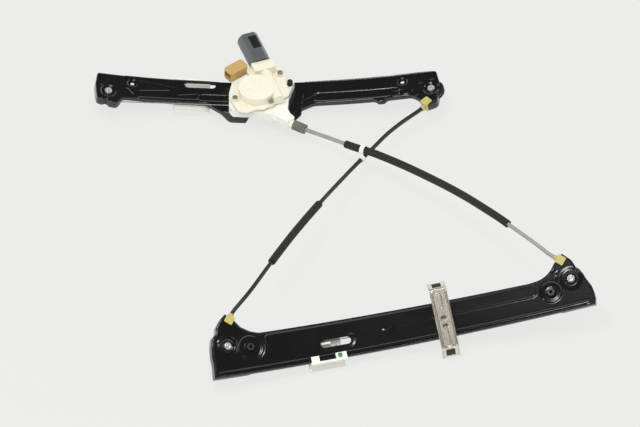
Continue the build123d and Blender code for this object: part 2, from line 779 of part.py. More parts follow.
magnet_gap = 0.7
with BuildPart() as magnets:
    with BuildSketch(along_plane(worm_line, core_start - 2)):
        Circle(can_radius - can_wall)
        Rectangle(3 * can_radius, 2 * (can_half_height - can_wall), mode=Mode.INTERSECT)
        Circle(core_radius + magnet_gap, mode=Mode.SUBTRACT)
        Rectangle(10, 3 * can_radius, mode=Mode.SUBTRACT)
    extrude(amount=core_length + 4)

brush_width = 3.0
with BuildPart() as brush_holder:
    with BuildSketch(along_plane(worm_line, can_start)):
        Circle(can_radius - can_wall)
        Rectangle(3 * can_radius, 2 * (can_half_height - can_wall), mode=Mode.INTERSECT)
        Circle(commutator_radius + 4.0, mode=Mode.SUBTRACT)
    extrude(amount=commutator_start + commutator_length - can_start)
    with BuildSketch(along_plane(worm_line, can_start)):
        Circle(commutator_radius + 4.2)
        Circle(shaft_radius + 1.0, mode=Mode.SUBTRACT)
    extrude(amount=2.0)

with BuildPart() as brushes:
    with BuildSketch(along_plane(worm_line, commutator_start + 2)):
        with Locations((0, commutator_radius + 2.0), (0, -commutator_radius - 2.0)):
            Rectangle(brush_width, 3.8)
    extrude(amount=4.0)

terminal_x, terminal_y = -33.0, 46.0
connector_length, connector_width, connector_height = 36.0, 20.0, 17.0
connector_base = gear_floor + 1.0
connector_plane = turned(hub, motor_turn - 72, terminal_x, terminal_y, connector_base)
with BuildPart() as connector:
    with BuildSketch(connector_plane) as plan:
        Rectangle(connector_length, connector_width)
        fillet(plan.vertices(), radius=5)
    extrude(amount=connector_height)
    with BuildSketch(along_plane(connector_plane, -connector_length / 2, 0, connector_height / 2)):
        Rectangle(connector_width - 5, connector_height - 5)
    extrude(amount=16, mode=Mode.SUBTRACT)
    add(gear_housing.part, mode=Mode.SUBTRACT)
    add(gear_cover.part, mode=Mode.SUBTRACT)

with BuildPart() as connector_pins:
    with BuildSketch(along_plane(connector_plane, -connector_length / 2 + 4, 0, connector_height / 2)):
        with GridLocations(5, 4, 2, 2):
            Rectangle(1.8, 0.6)
    extrude(amount=12.0)

with BuildPart() as connector_foot:
    with BuildSketch(turned(connector_plane, 0, 0, 0, drum_housing_height - connector_base)) as plan:
        Rectangle(connector_length - 8, connector_width - 6)
    extrude(amount=connector_base - drum_housing_height)

screw_head_radius, screw_head = 4.4, 2.4


def screw(plane, place, low, high):
    """A housing screw: its shank from low to high, its round head above, with a driver's recess."""
    with BuildPart() as fastener:
        with BuildSketch(turned(plane, 0, place[0], place[1], low)):
            Circle(screw_radius)
        extrude(amount=high - low)
        with BuildSketch(turned(plane, 0, place[0], place[1], high)):
            Circle(screw_head_radius)
        extrude(amount=screw_head)
        with BuildSketch(turned(plane, 0, place[0], place[1], high + screw_head - 1.4)):
            RegularPolygon(2.2, 6)
        extrude(amount=2, mode=Mode.SUBTRACT)
    return fastener.part


with BuildPart() as motor_screws:
    for place in gear_screws:
        add(screw(motor, place, cover_top, boss_top))
with BuildPart() as housing_screws_set:
    for x, y in housing_screws:
        foot = station(drive, hub_along + x, hub_across + y, -sheet)
        with BuildSketch(foot.offset(-1.8)):
            Circle(screw_head_radius)
        extrude(amount=1.8)
        with BuildSketch(foot):
            Circle(screw_radius)
        extrude(amount=housing_screw_depth - 1)

# ---- tension spring and collar at the nozzle ----
collar_radius, collar_length = 8.0, 21.0
collar_start = nozzle_end - 4.0
with BuildPart() as adjuster_collar:
    with BuildSketch(along_plane(nozzle_plane, collar_start)):
        Circle(collar_radius)
        Circle(sheath_radius, mode=Mode.SUBTRACT)
    extrude(amount=collar_length)
    with BuildSketch(along_plane(nozzle_plane, collar_start)):
        Circle(nozzle_radius)
    extrude(amount=nozzle_end - collar_start, mode=Mode.SUBTRACT)
    for index in range(5):
        with BuildSketch(along_plane(nozzle_plane, collar_start + 3 + 3.6 * index)):
            Circle(collar_radius)
            Circle(collar_radius - 0.9, mode=Mode.SUBTRACT)
        extrude(amount=1.4, mode=Mode.SUBTRACT)

with BuildPart() as tension_spring:
    with BuildLine(Plane.XY) as coil:
        Helix(
            pitch=(spring_end - spring_start - spring_wire) / spring_turns,
            height=spring_end - spring_start - spring_wire, radius=spring_radius,
            center=nozzle_plane.from_local_coords((spring_start + spring_wire / 2, 0, 0)),
            direction=nozzle_plane.x_dir,
        )
    with BuildSketch(Plane(origin=coil.line @ 0, z_dir=coil.line % 0)):
        Circle(spring_wire / 2)
    sweep(is_frenet=True)

# ---- carriers ----
lip = drive_half_width
jaw_low = carrier_back


def strip(rail, section, start, end):
    return bent_bar(rail, section, start, end)


front_start, front_end = front_along - carrier_length / 2, front_along + carrier_length / 2
plate_bottom = carrier_back - carrier_thickness
slave_lip = -slave_lower_edge
rear_start, rear_end = rear_along - carrier_length / 2, rear_along + carrier_length / 2
nipple_wall = 2.0
insert_along, insert_across, insert_radius, insert_bore = 21.0, -8.0, 4.0, 2.5
pad_thickness = 2.0
nipple_top = pulley_top - 0.8
nipple_radius, nipple_bore, nipple_length = 2.8, 1.4, 20.0
drive_strand = drive_pulleys[0][1] + pulley_radius
slave_strand = slave_pulleys[0][1] - pulley_radius


def nipple_holder(rail, along, across):
    """The block on a carrier that holds the cable's two end nipples."""
    width = nipple_radius + nipple_wall
    with BuildPart() as holder:
        add(bent_bar(
            rail, block(across - width, across + width, carrier_back, nipple_top),
            along - nipple_length / 2 - 1.5,
            along + nipple_length / 2 + 1.5,
        ))
        with BuildSketch(along_plane(station(rail, along, across, cable_lift), -nipple_length / 2)):
            Circle(nipple_radius)
        extrude(amount=nipple_length, mode=Mode.SUBTRACT)
        with BuildSketch(along_plane(station(rail, along, across, cable_lift), -nipple_length)):
            with Locations((0, 5)):
                Rectangle(2 * nipple_bore, 10 + 2 * nipple_bore)
        extrude(amount=2 * nipple_length, mode=Mode.SUBTRACT)
    return holder.part

with BuildPart() as front_carrier:
    jaw_in, jaw_out = lip + guide_gap, lip + guide_gap + jaw_thickness
    add(strip(drive, block(-32, jaw_out, plate_bottom, carrier_back), front_start, front_end))
    add(strip(drive, block(jaw_in, jaw_out, jaw_low, 0), front_start, front_end))
    add(strip(
        drive,
        block(
            lip - sheet - guide_gap - jaw_thickness, lip - sheet - guide_gap,
            jaw_low, -cup_depth - sheet - guide_gap,
        ),
        front_start, front_end,
    ))
    add(strip(
        drive,
        block(-lip + sheet + guide_gap, -lip + sheet + guide_gap + jaw_thickness, jaw_low, -5.8),
        front_start, front_end,
    ))
    add(nipple_holder(drive, front_along, drive_strand))
    for side in (-1, 1):
        with BuildSketch(station(drive, front_along + side * insert_along, insert_across, plate_bottom - 3)):
            Circle(insert_radius)
        extrude(amount=carrier_thickness + 6, mode=Mode.SUBTRACT)

with BuildPart() as rear_carrier:
    jaw_edge = -slave_lip - guide_gap - jaw_thickness - 7.5
    add(strip(slave, block(jaw_edge, 26, plate_bottom, carrier_back), rear_start, rear_end))
    add(strip(
        slave,
        block(-slave_lip - guide_gap - jaw_thickness, -slave_lip - guide_gap, jaw_low, 3.6),
        rear_start, rear_end,
    ))
    add(strip(
        slave,
        block(
            -slave_lip + sheet + guide_gap, -slave_lip + sheet + guide_gap + jaw_thickness,
            jaw_low, -cup_depth - sheet - guide_gap,
        ),
        rear_start, rear_end,
    ))
    for start, end in ((-160.5, -147.5), (-120.0, -102.0)):
        add(strip(slave, block(-slave_lip - guide_gap - jaw_thickness, -20, guide_gap, 3.6), start, end))
    add(nipple_holder(slave, rear_along, slave_strand))
    for side in (-1, 1):
        with BuildSketch(station(slave, rear_along + side * insert_along, insert_across, plate_bottom - 3)):
            Circle(insert_radius)
        extrude(amount=carrier_thickness + 6, mode=Mode.SUBTRACT)


def nipples(rail, along, across):
    """The two barrel ends of the cables, side by side along the strand."""
    with BuildPart() as pair:
        for start in (-nipple_length / 2, 0.4):
            with BuildSketch(along_plane(station(rail, along, across, cable_lift), start)):
                Circle(nipple_radius)
                Circle(nipple_bore, mode=Mode.SUBTRACT)
            extrude(amount=nipple_length / 2 - 0.4)
    return pair.part


def inserts(rail, along):
    """The threaded inserts that take the glass bolts."""
    with BuildPart() as pair:
        for side in (-1, 1):
            with BuildSketch(station(rail, along + side * insert_along, insert_across, plate_bottom)):
                Circle(insert_radius)
                Circle(insert_bore, mode=Mode.SUBTRACT)
            extrude(amount=carrier_thickness)
    return pair.part


def glass_pad(rail, along):
    """The rubber pad that the glass bears on."""
    with BuildPart() as pad:
        add(bent_bar(rail, block(-9, 9, plate_bottom - pad_thickness, plate_bottom), along - 12, along + 12))
    return pad.part


front_nipples = nipples(drive, front_along, drive_strand)
rear_nipples = nipples(slave, rear_along, slave_strand)
front_inserts = inserts(drive, front_along)
rear_inserts = inserts(slave, rear_along)
front_glass_pad = glass_pad(drive, front_along)
rear_glass_pad = glass_pad(slave, rear_along)
marker_along = -113.0
with BuildPart() as rear_carrier_marker:
    with BuildSketch(station(slave, marker_along, -24.5, 3.6)):
        RectangleRounded(6, 6, 1)
    extrude(amount=1.8)


# ---- cross bracket on the slave rail ----
bracket_width = 27.0
bracket_sheet = 2.0
bridge_lift = 9.0               # the bracket bridges the carrier's ears
bracket_profile = [(62, -6), (50, bridge_lift), (-48, bridge_lift), (-60, -8)]
cup_radius = 5.2                # drawn down to the rail round each rivet
bracket_start = bracket_along - bracket_width / 2

with BuildPart() as cross_bracket:
    upper_side = [(across, lift + bracket_sheet) for across, lift in reversed(bracket_profile)]
    add(bent_bar(slave, bracket_profile + upper_side, bracket_start, bracket_start + bracket_width))
    for along, across in bracket_rivets_at:
        with BuildSketch(station(slave, along, across, 0)):
            Circle(cup_radius)
        extrude(amount=bridge_lift + bracket_sheet / 2)
        with BuildSketch(station(slave, along, across, bracket_sheet)):
            Circle(cup_radius - bracket_sheet / 2)
        extrude(amount=bridge_lift + bracket_sheet, mode=Mode.SUBTRACT)
        with BuildSketch(station(slave, along, across, -5)):
            Circle(rivet_radius)
        extrude(amount=20, mode=Mode.SUBTRACT)

with BuildPart() as bracket_rivets:
    for along, across in bracket_rivets_at:
        with BuildSketch(station(slave, along, across, -sheet - 1.6)):
            Circle(rivet_radius + rivet_rim)
        extrude(amount=1.6)
        with BuildSketch(station(slave, along, across, -sheet)):
            Circle(rivet_radius)
        extrude(amount=sheet + bracket_sheet + 0.1)
        with BuildSketch(station(slave, along, across, bracket_sheet + 0.1)):
            Circle(rivet_radius + rivet_rim)
        extrude(amount=1.5)

nut_across, nut_height = 11.2, 5.0


def cup_nut(rail, place):
    """A threaded nut seated on the floor of a mounting cup."""
    with BuildPart() as nut:
        with BuildSketch(station(rail, place[0], place[1], -cup_depth)):
            RegularPolygon(nut_across / 2, 6, major_radius=False)
            Circle(cup_hole - 0.4, mode=Mode.SUBTRACT)
        extrude(amount=nut_height)
    return nut.part


with BuildPart() as mount_nuts:
    add([cup_nut(slave, cup) for cup in slave_cups])

# ---- cables ----


def arc_rod(plane, radius, start, sweep_angle):
    """A length of cable round a circle in a plane, from an angle, through an arc in degrees."""
    begin = plane.from_local_coords(tuple(unit(start) * radius))
    way = unit(start + 90)
    heading = plane.x_dir * way.X + plane.y_dir * way.Y
    with BuildPart() as arc:
        with BuildSketch(Plane(origin=begin, z_dir=heading)):
            Circle(cable_radius)
        revolve(axis=Axis(plane.origin, plane.z_dir), revolution_arc=sweep_angle)
    return arc.part


def on_rim(rail, place, angle):
    return rim_point(pulley_plane(rail, place), angle)


def route_radii(points):
    """The bend at each corner of a cable's route, as large as its two runs allow."""
    radii = []
    for before, here, after in zip(points, points[1:], points[2:]):
        back, ahead = Vector(*here) - Vector(*before), Vector(*after) - Vector(*here)
        half_turn = radians(back.get_angle(ahead)) / 2
        radii.append(0.45 * min(back.length, ahead.length) / tan(half_turn))
    return radii


def hose(points, radii, outer, bore):
    """A tube along a route of straight runs joined by arcs."""
    with BuildPart() as tube:
        with BuildLine(Plane.XY) as path:
            FilletPolyline(*points, radius=radii)
        with BuildSketch(Plane(origin=path.line @ 0, z_dir=path.line % 0)):
            Circle(outer)
            if bore > 0:
                Circle(bore, mode=Mode.SUBTRACT)
        sweep()
    length = path.wires()[0].length
    section = pi * (outer**2 - bore**2) * length
    print("tube", round(length, 1), "mm, volume over section", round(tube.part.volume / section, 5))
    return tube.part


def at(plane, distance):
    return tuple(plane.from_local_coords((distance, 0, 0)))


sheath_seat = fitting_length / 2 - 4


def laid(x, y, z):
    """A point of a sheath's route, as it lies on the bench."""
    return (x + bench_x, y + bench_y, z)


first_route = [
    at(nozzle_plane, nozzle_end), at(nozzle_plane, nozzle_end + 24),
    laid(3.3, 145.5, 31.0), laid(28.3, 123.5, 40.5), laid(54.8, 102.5, 47.5), laid(83.2, 88.3, 50.0),
    laid(113.6, 64.1, 57.0), laid(144.0, 37.3, 65.0), laid(174.4, 7.7, 74.0), laid(206.4, -23.9, 83.0),
    laid(238.4, -58.3, 92.0), laid(262.3, -86.1, 98.5), laid(285.6, -111.1, 102.5),
    laid(316.6, -145.6, 106.0), laid(343.8, -172.8, 106.0),
    at(slave_right_end, 20), at(slave_right_end, sheath_seat),
]
second_route = [
    at(drive_end, sheath_seat), at(drive_end, 20),
    laid(131.3, 171.5, 35.5), laid(106.8, 143.3, 36.5), laid(80.8, 103.8, 38.5), laid(52.8, 60.9, 43.0),
    laid(11.8, -14.2, 57.0), laid(-15.0, -68.5, 69.0), laid(-41.7, -123.7, 80.0), laid(-65.5, -174.6, 87.5),
    laid(-89.2, -223.4, 91.5), laid(-111.7, -268.5, 92.5),
    at(slave_left_end, 18), at(slave_left_end, sheath_seat),
]
first_radii = route_radii(first_route)
second_radii = route_radii(second_route)
print("bends of the first sheath", [round(r) for r in first_radii])
print("bends of the second sheath", [round(r) for r in second_radii])
first_sheath = hose(first_route, first_radii, sheath_radius, sheath_bore)
second_sheath = hose(second_route, second_radii, sheath_radius, sheath_bore)


def middle(points, index):
    """The point half way along one run of a route."""
    return tuple((Vector(*points[index]) + Vector(*points[index + 1])) / 2)


def sleeve(points, radii, first, last):
    """A foam sleeve over a sheath, from the middle of one run to the middle of another."""
    inner = [middle(points, first)] + points[first + 1:last + 1] + [middle(points, last)]
    return hose(inner, radii[first:last], sleeve_radius, sheath_radius + sleeve_gap)


first_sleeve = sleeve(first_route, first_radii, 3, 12)
second_sleeve = sleeve(second_route, second_radii, 6, 9)


def strand(rail, start, end, across):
    """A stretch of cable that follows the rail's bend."""
    points = [station(rail, along, across, cable_lift).origin for along in (start, (start + end) / 2, end)]
    with BuildPart() as bent:
        with BuildLine(Plane.XY) as path:
            ThreePointArc(*points)
        with BuildSketch(Plane(origin=points[0], z_dir=path.line % 0)):
            Circle(cable_radius)
        sweep()
    return bent.part


with BuildPart() as drum_cable:
    add(arc_rod(hub.offset(incoming_lift), drum_cable_radius, 110, 160))
    add(rod(incoming_end, incoming_start, cable_radius))
    add(arc_rod(pulley_plane(drive, drive_pulleys[0]), pulley_radius, 90, 180))
    add(strand(drive, drive_pulleys[0][0], front_along, drive_strand))

with BuildPart() as crossing_cable:
    add(strand(drive, front_along, drive_pulleys[1][0], drive_strand))
    far_pulley = pulley_plane(drive, drive_pulleys[1])
    add(arc_rod(far_pulley, pulley_radius, drive_exit_angle, 90 - drive_exit_angle))
    add(rod(on_rim(drive, drive_pulleys[1], drive_exit_angle), at(drive_end, sheath_seat), cable_radius))
    add(hose(second_route, second_radii, cable_radius, 0))
    low_pulley = pulley_plane(slave, slave_pulleys[0])
    low_entry = on_rim(slave, slave_pulleys[0], slave_entry_angle)
    add(rod(at(slave_left_end, sheath_seat), low_entry, cable_radius))
    add(arc_rod(low_pulley, pulley_radius, slave_entry_angle, 270 - slave_entry_angle))
    add(strand(slave, slave_pulleys[0][0], rear_along, slave_strand))

with BuildPart() as return_cable:
    add(strand(slave, rear_along, slave_pulleys[1][0], slave_strand))
    add(arc_rod(pulley_plane(slave, slave_pulleys[1]), pulley_radius, -90, 90 + slave_exit_angle))
    high_exit = on_rim(slave, slave_pulleys[1], slave_exit_angle)
    add(rod(high_exit, at(slave_right_end, sheath_seat), cable_radius))
    add(hose(first_route, first_radii, cable_radius, 0))
    add(rod(at(nozzle_plane, nozzle_end), nozzle_plane.origin, cable_radius))
    add(arc_rod(hub.offset(outgoing_lift), drum_cable_radius, nozzle_direction - 250, 160))

clip_length, clip_wall, clip_gap = 7.0, 1.8, 0.35
clip_first = middle(first_route, 4)
clip_second = middle(second_route, 4)


def clip_ring(points, index, held):
    """One jaw of the clip, round a sheath or its sleeve."""
    here, ahead = Vector(*middle(points, index)), Vector(*points[index + 1])
    with BuildPart() as ring:
        with BuildSketch(Plane(origin=here, z_dir=ahead - here).offset(-clip_length / 2)):
            Circle(held + clip_gap + clip_wall)
            Circle(held + clip_gap, mode=Mode.SUBTRACT)
        extrude(amount=clip_length)
    return ring.part


clip_line = (Vector(*clip_second) - Vector(*clip_first)).normalized()
with BuildPart() as cable_clip:
    add(clip_ring(first_route, 4, sleeve_radius))
    add(clip_ring(second_route, 4, sheath_radius))
    add(rod(
        Vector(*clip_first) + clip_line * (sleeve_radius + clip_gap + clip_wall / 2),
        Vector(*clip_second) - clip_line * (sheath_radius + clip_gap + clip_wall / 2),
        1.6,
    ))
    for points, held in ((first_route, sleeve_radius), (second_route, sheath_radius)):
        ahead = Vector(*points[5]) - Vector(*points[4])
        start = Vector(*middle(points, 4)) - ahead.normalized() * 3 * clip_length
        add(rod(start, start + ahead.normalized() * 6 * clip_length, held + clip_gap), mode=Mode.SUBTRACT)

stop_place = (53.4, 24.5)
stop_radius, stop_height = 4.5, 9.0
with BuildPart() as rubber_stop:
    with BuildSketch(turned(hub, 0, stop_place[0], stop_place[1], drum_housing_height)) as base:
        Circle(stop_radius)
    extrude(amount=stop_height)
    fillet(rubber_stop.faces().sort_by(Axis.Z)[-1].edges(), radius=1.5)

pad_rise, pad_margin = 1.2, 6.2
with BuildPart() as bracket_pads:
    for (outer, outer_lift), (inner, inner_lift) in (bracket_profile[:2], bracket_profile[:-3:-1]):
        ends = [
            (outer + (inner - outer) * share, outer_lift + (inner_lift - outer_lift) * share + bracket_sheet)
            for share in (0.15, 0.7)
        ]
        upper_side = [(across, lift + pad_rise) for across, lift in reversed(ends)]
        pad_start, pad_end = bracket_start + pad_margin, bracket_start + bracket_width - pad_margin
        add(bent_bar(slave, ends + upper_side, pad_start, pad_end))

# ---- files ----
pieces = {
    "drive_rail": drive_rail.part,
    "slave_rail": slave_rail.part,
    "drive_left_pulley": pulleys["drive_left"],
    "drive_right_pulley": pulleys["drive_right"],
    "slave_left_pulley": pulleys["slave_left"],
    "slave_right_pulley": pulleys["slave_right"],
    "pulley_rivets": pulley_rivets.part,
    "pulley_guards": pulley_guards.part,
    "drum_housing": drum_housing.part,
    "cable_drum": drum.part,
    "drum_axle": drum_axle.part,
    "gear_cover": gear_cover.part,
    "gear_housing": gear_housing.part,
    "worm_wheel": worm_wheel.part,
    "worm": worm.part,
    "motor_shaft": motor_shaft,
    "armature_core": armature_core.part,
    "commutator": commutator,
    "motor_bushes": bushes,
    "motor_can": motor_can.part,
    "motor_magnets": magnets.part,
    "brush_holder": brush_holder.part,
    "motor_brushes": brushes.part,
    "connector": connector.part,
    "connector_pins": connector_pins.part,
    "connector_foot": connector_foot.part,
    "motor_screws": motor_screws.part,
    "drum_housing_screws": housing_screws_set.part,
    "adjuster_collar": adjuster_collar.part,
    "tension_spring": tension_spring.part,
    "rubber_stop": rubber_stop.part,
    "drive_right_end_fitting": drive_end_fitting,
    "slave_left_end_fitting": slave_left_end_fitting,
    "slave_right_end_fitting": slave_right_end_fitting,
    "return_sheath": first_sheath,
    "crossing_sheath": second_sheath,
    "return_foam_sleeve": first_sleeve,
    "crossing_foam_sleeve": second_sleeve,
    "cable_clip": cable_clip.part,
    "drum_cable": drum_cable.part,
    "crossing_cable": crossing_cable.part,
    "return_cable": return_cable.part,
    "front_carrier": front_carrier.part,
    "rear_carrier": rear_carrier.part,
    "front_cable_nipples": front_nipples,
    "rear_cable_nipples": rear_nipples,
    "front_glass_inserts": front_inserts,
    "rear_glass_inserts": rear_inserts,
    "front_glass_pad": front_glass_pad,
    "rear_glass_pad": rear_glass_pad,
    "rear_carrier_marker": rear_carrier_marker.part,
    "cross_bracket": cross_bracket.part,
    "bracket_rivets": bracket_rivets.part,
    "bracket_pads": bracket_pads.part,
    "mount_nuts": mount_nuts.part,
}
os.makedirs("parts", exist_ok=True)
for name, shape in pieces.items():
    shape.label = name
    export_step(shape, "parts/" + name + ".step")
    box = shape.bounding_box()
    print(name, len(shape.solids()), round(shape.volume), [round(v, 1) for v in (*box.min, *box.max)])
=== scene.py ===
import bpy, math
import numpy as np
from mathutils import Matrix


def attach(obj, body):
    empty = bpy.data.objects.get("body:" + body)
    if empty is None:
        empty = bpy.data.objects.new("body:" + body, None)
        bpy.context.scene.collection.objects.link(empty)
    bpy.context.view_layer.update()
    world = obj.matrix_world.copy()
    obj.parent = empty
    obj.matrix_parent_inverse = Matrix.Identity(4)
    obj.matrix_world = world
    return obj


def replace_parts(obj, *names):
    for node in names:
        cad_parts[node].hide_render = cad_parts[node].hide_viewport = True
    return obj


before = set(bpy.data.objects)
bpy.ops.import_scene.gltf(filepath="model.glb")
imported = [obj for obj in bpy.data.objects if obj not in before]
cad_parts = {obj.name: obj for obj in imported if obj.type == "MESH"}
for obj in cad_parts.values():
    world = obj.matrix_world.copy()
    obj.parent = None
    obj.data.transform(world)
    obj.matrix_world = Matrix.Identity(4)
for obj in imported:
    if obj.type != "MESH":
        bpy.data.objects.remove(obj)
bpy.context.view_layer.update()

print("frame loaded")

# shader expressions


class Sock:
    # a socket of one material's tree; operators add Math nodes
    def __init__(self, paint, socket):
        self.paint = paint
        self.socket = socket

    def math(self, operation, *others):
        values = {i: v for i, v in enumerate((self,) + others)}
        return self.paint.add("ShaderNodeMath", {"operation": operation}, values)

    def __add__(self, other): return self.math("ADD", other)
    def __radd__(self, other): return self.math("ADD", other)
    def __sub__(self, other): return self.math("SUBTRACT", other)
    def __rsub__(self, other):
        return self.paint.add("ShaderNodeMath", {"operation": "SUBTRACT"}, {0: other, 1: self})

    def __mul__(self, other): return self.math("MULTIPLY", other)
    def __rmul__(self, other): return self.math("MULTIPLY", other)
    def __truediv__(self, other): return self.math("DIVIDE", other)
    def __pow__(self, other): return self.math("POWER", other)


class Paint:
    # one material: node() adds any node, with its settings first and its inputs after
    def __init__(self, name, owner=None, kind="ShaderNodeOutputMaterial"):
        self.material = owner or bpy.data.materials.new(name)
        self.material.use_nodes = True
        self.tree = self.material.node_tree
        self.tree.nodes.clear()
        self.output = self.tree.nodes.new(kind)

    def add(self, kind, settings=None, inputs=None, out=0):
        node = self.tree.nodes.new(kind)
        for key, value in (settings or {}).items():
            if key == "stops":
                ramp = node.color_ramp
                while len(ramp.elements) < len(value):
                    ramp.elements.new(0.5)
                for element, (place, colour) in zip(ramp.elements, value):
                    element.position = place
                    element.color = (*colour, 1) if isinstance(colour, tuple) else (colour, colour, colour, 1)
            else:
                setattr(node, key, value)
        for key, value in (inputs or {}).items():
            if isinstance(value, Sock):
                self.tree.links.new(value.socket, node.inputs[key])
            else:
                node.inputs[key].default_value = value
        return Sock(self, node.outputs[out])

    def place(self):
        return self.add("ShaderNodeTexCoord", out=3)

    def worldPlace(self):
        return self.add("ShaderNodeTexCoord", out=0)

    def noise(self, scale, detail=3.0, rough=0.5, at=None):
        inputs = {"Vector": at or self.place(), "Scale": scale, "Detail": detail, "Roughness": rough}
        return self.add("ShaderNodeTexNoise", None, inputs)

    def ramp(self, value, low, high):
        inputs = {"Value": value, "From Min": low, "From Max": high}
        return self.add("ShaderNodeMapRange", {"interpolation_type": "SMOOTHSTEP"}, inputs)

    def blend(self, factor, first, second):
        node = self.tree.nodes.new("ShaderNodeMix")
        node.data_type = "RGBA"
        for socket, value in ((node.inputs[0], factor), (node.inputs[6], first), (node.inputs[7], second)):
            if isinstance(value, Sock):
                self.tree.links.new(value.socket, socket)
            else:
                socket.default_value = (*value, 1) if isinstance(value, tuple) else value
        return Sock(self, node.outputs[2])

    def bump(self, height, distance, strength=1.0):
        inputs = {"Height": height, "Distance": distance, "Strength": strength}
        return self.add("ShaderNodeBump", None, inputs)

    def surface(self, **inputs):
        names = {
            key.replace("_", " "): (*value, 1) if isinstance(value, tuple) else value
            for key, value in inputs.items()
        }
        shader = self.add("ShaderNodeBsdfPrincipled", None, names)
        self.tree.links.new(shader.socket, self.output.inputs[0])
        return self.material


railPaint = {
    "colour": (0.0065, 0.0065, 0.007), "dust": (0.03, 0.03, 0.03), "roughness": 0.16, "waviness": 0.00006,
}


def blackPaint(name, settings):
    p = Paint(name)
    speck = p.ramp(p.noise(900.0, 2.0), 0.62, 0.8)
    cloud = p.noise(14.0, 4.0)
    colour = p.blend(speck * 0.35 + cloud * 0.12, settings["colour"], settings["dust"])
    peel = p.noise(420.0, 2.0)
    return p.surface(
        Base_Color=colour, Roughness=cloud * 0.12 + settings["roughness"],
        Coat_Weight=0.35, Coat_Roughness=0.06,
        Normal=p.bump(peel, settings["waviness"]),
    )


def plastic(name, colour, shade, roughness, grain=0.00004, stain=(0.3, 0.24, 0.14), stainAmount=0.25):
    p = Paint(name)
    cloud = p.noise(30.0, 5.0, 0.6)
    fine = p.noise(1500.0, 2.0)
    grime = p.ramp(p.noise(70.0, 6.0, 0.7), 0.55, 0.78)
    base = p.blend(cloud, colour, shade)
    base = p.blend(grime * stainAmount, base, stain)
    return p.surface(Base_Color=base, Roughness=cloud * 0.15 + (roughness - 0.07), Normal=p.bump(fine, grain))


def metal(name, colour, shade, roughness, scratch=0.00003, metallic=0.7):
    p = Paint(name)
    cloud = p.noise(60.0, 5.0, 0.6)
    spots = p.ramp(p.noise(260.0, 4.0, 0.65), 0.5, 0.72)
    stretched = p.add("ShaderNodeMapping", None, {"Vector": p.place(), "Scale": (1.0, 14.0, 1.0)})
    lines = p.noise(300.0, 3.0, at=stretched)
    return p.surface(
        Base_Color=p.blend(spots * 0.7 + cloud * 0.3, colour, shade), Metallic=metallic,
        Roughness=cloud * 0.18 + lines * 0.1 + (roughness - 0.12), Normal=p.bump(lines, scratch),
    )


def rope(name, colour, shade):
    p = Paint(name)
    strands = {"wave_type": "BANDS", "bands_direction": "DIAGONAL"}
    inputs = {"Vector": p.place(), "Scale": 420.0, "Distortion": 0.6}
    wave = p.add("ShaderNodeTexWave", strands, inputs, out=1)
    return p.surface(
        Base_Color=p.blend(wave, shade, colour), Metallic=0.9, Roughness=0.38, Normal=p.bump(wave, 0.0002),
    )


def foam(name):
    p = Paint(name)
    pores = p.noise(1100.0, 3.0, 0.7)
    cloud = p.noise(45.0, 4.0)
    colour = p.blend(cloud * 0.6 + pores * 0.4, (0.008, 0.008, 0.008), (0.026, 0.025, 0.022))
    return p.surface(Base_Color=colour, Roughness=pores * 0.15 + 0.72, Normal=p.bump(pores, 0.00035))


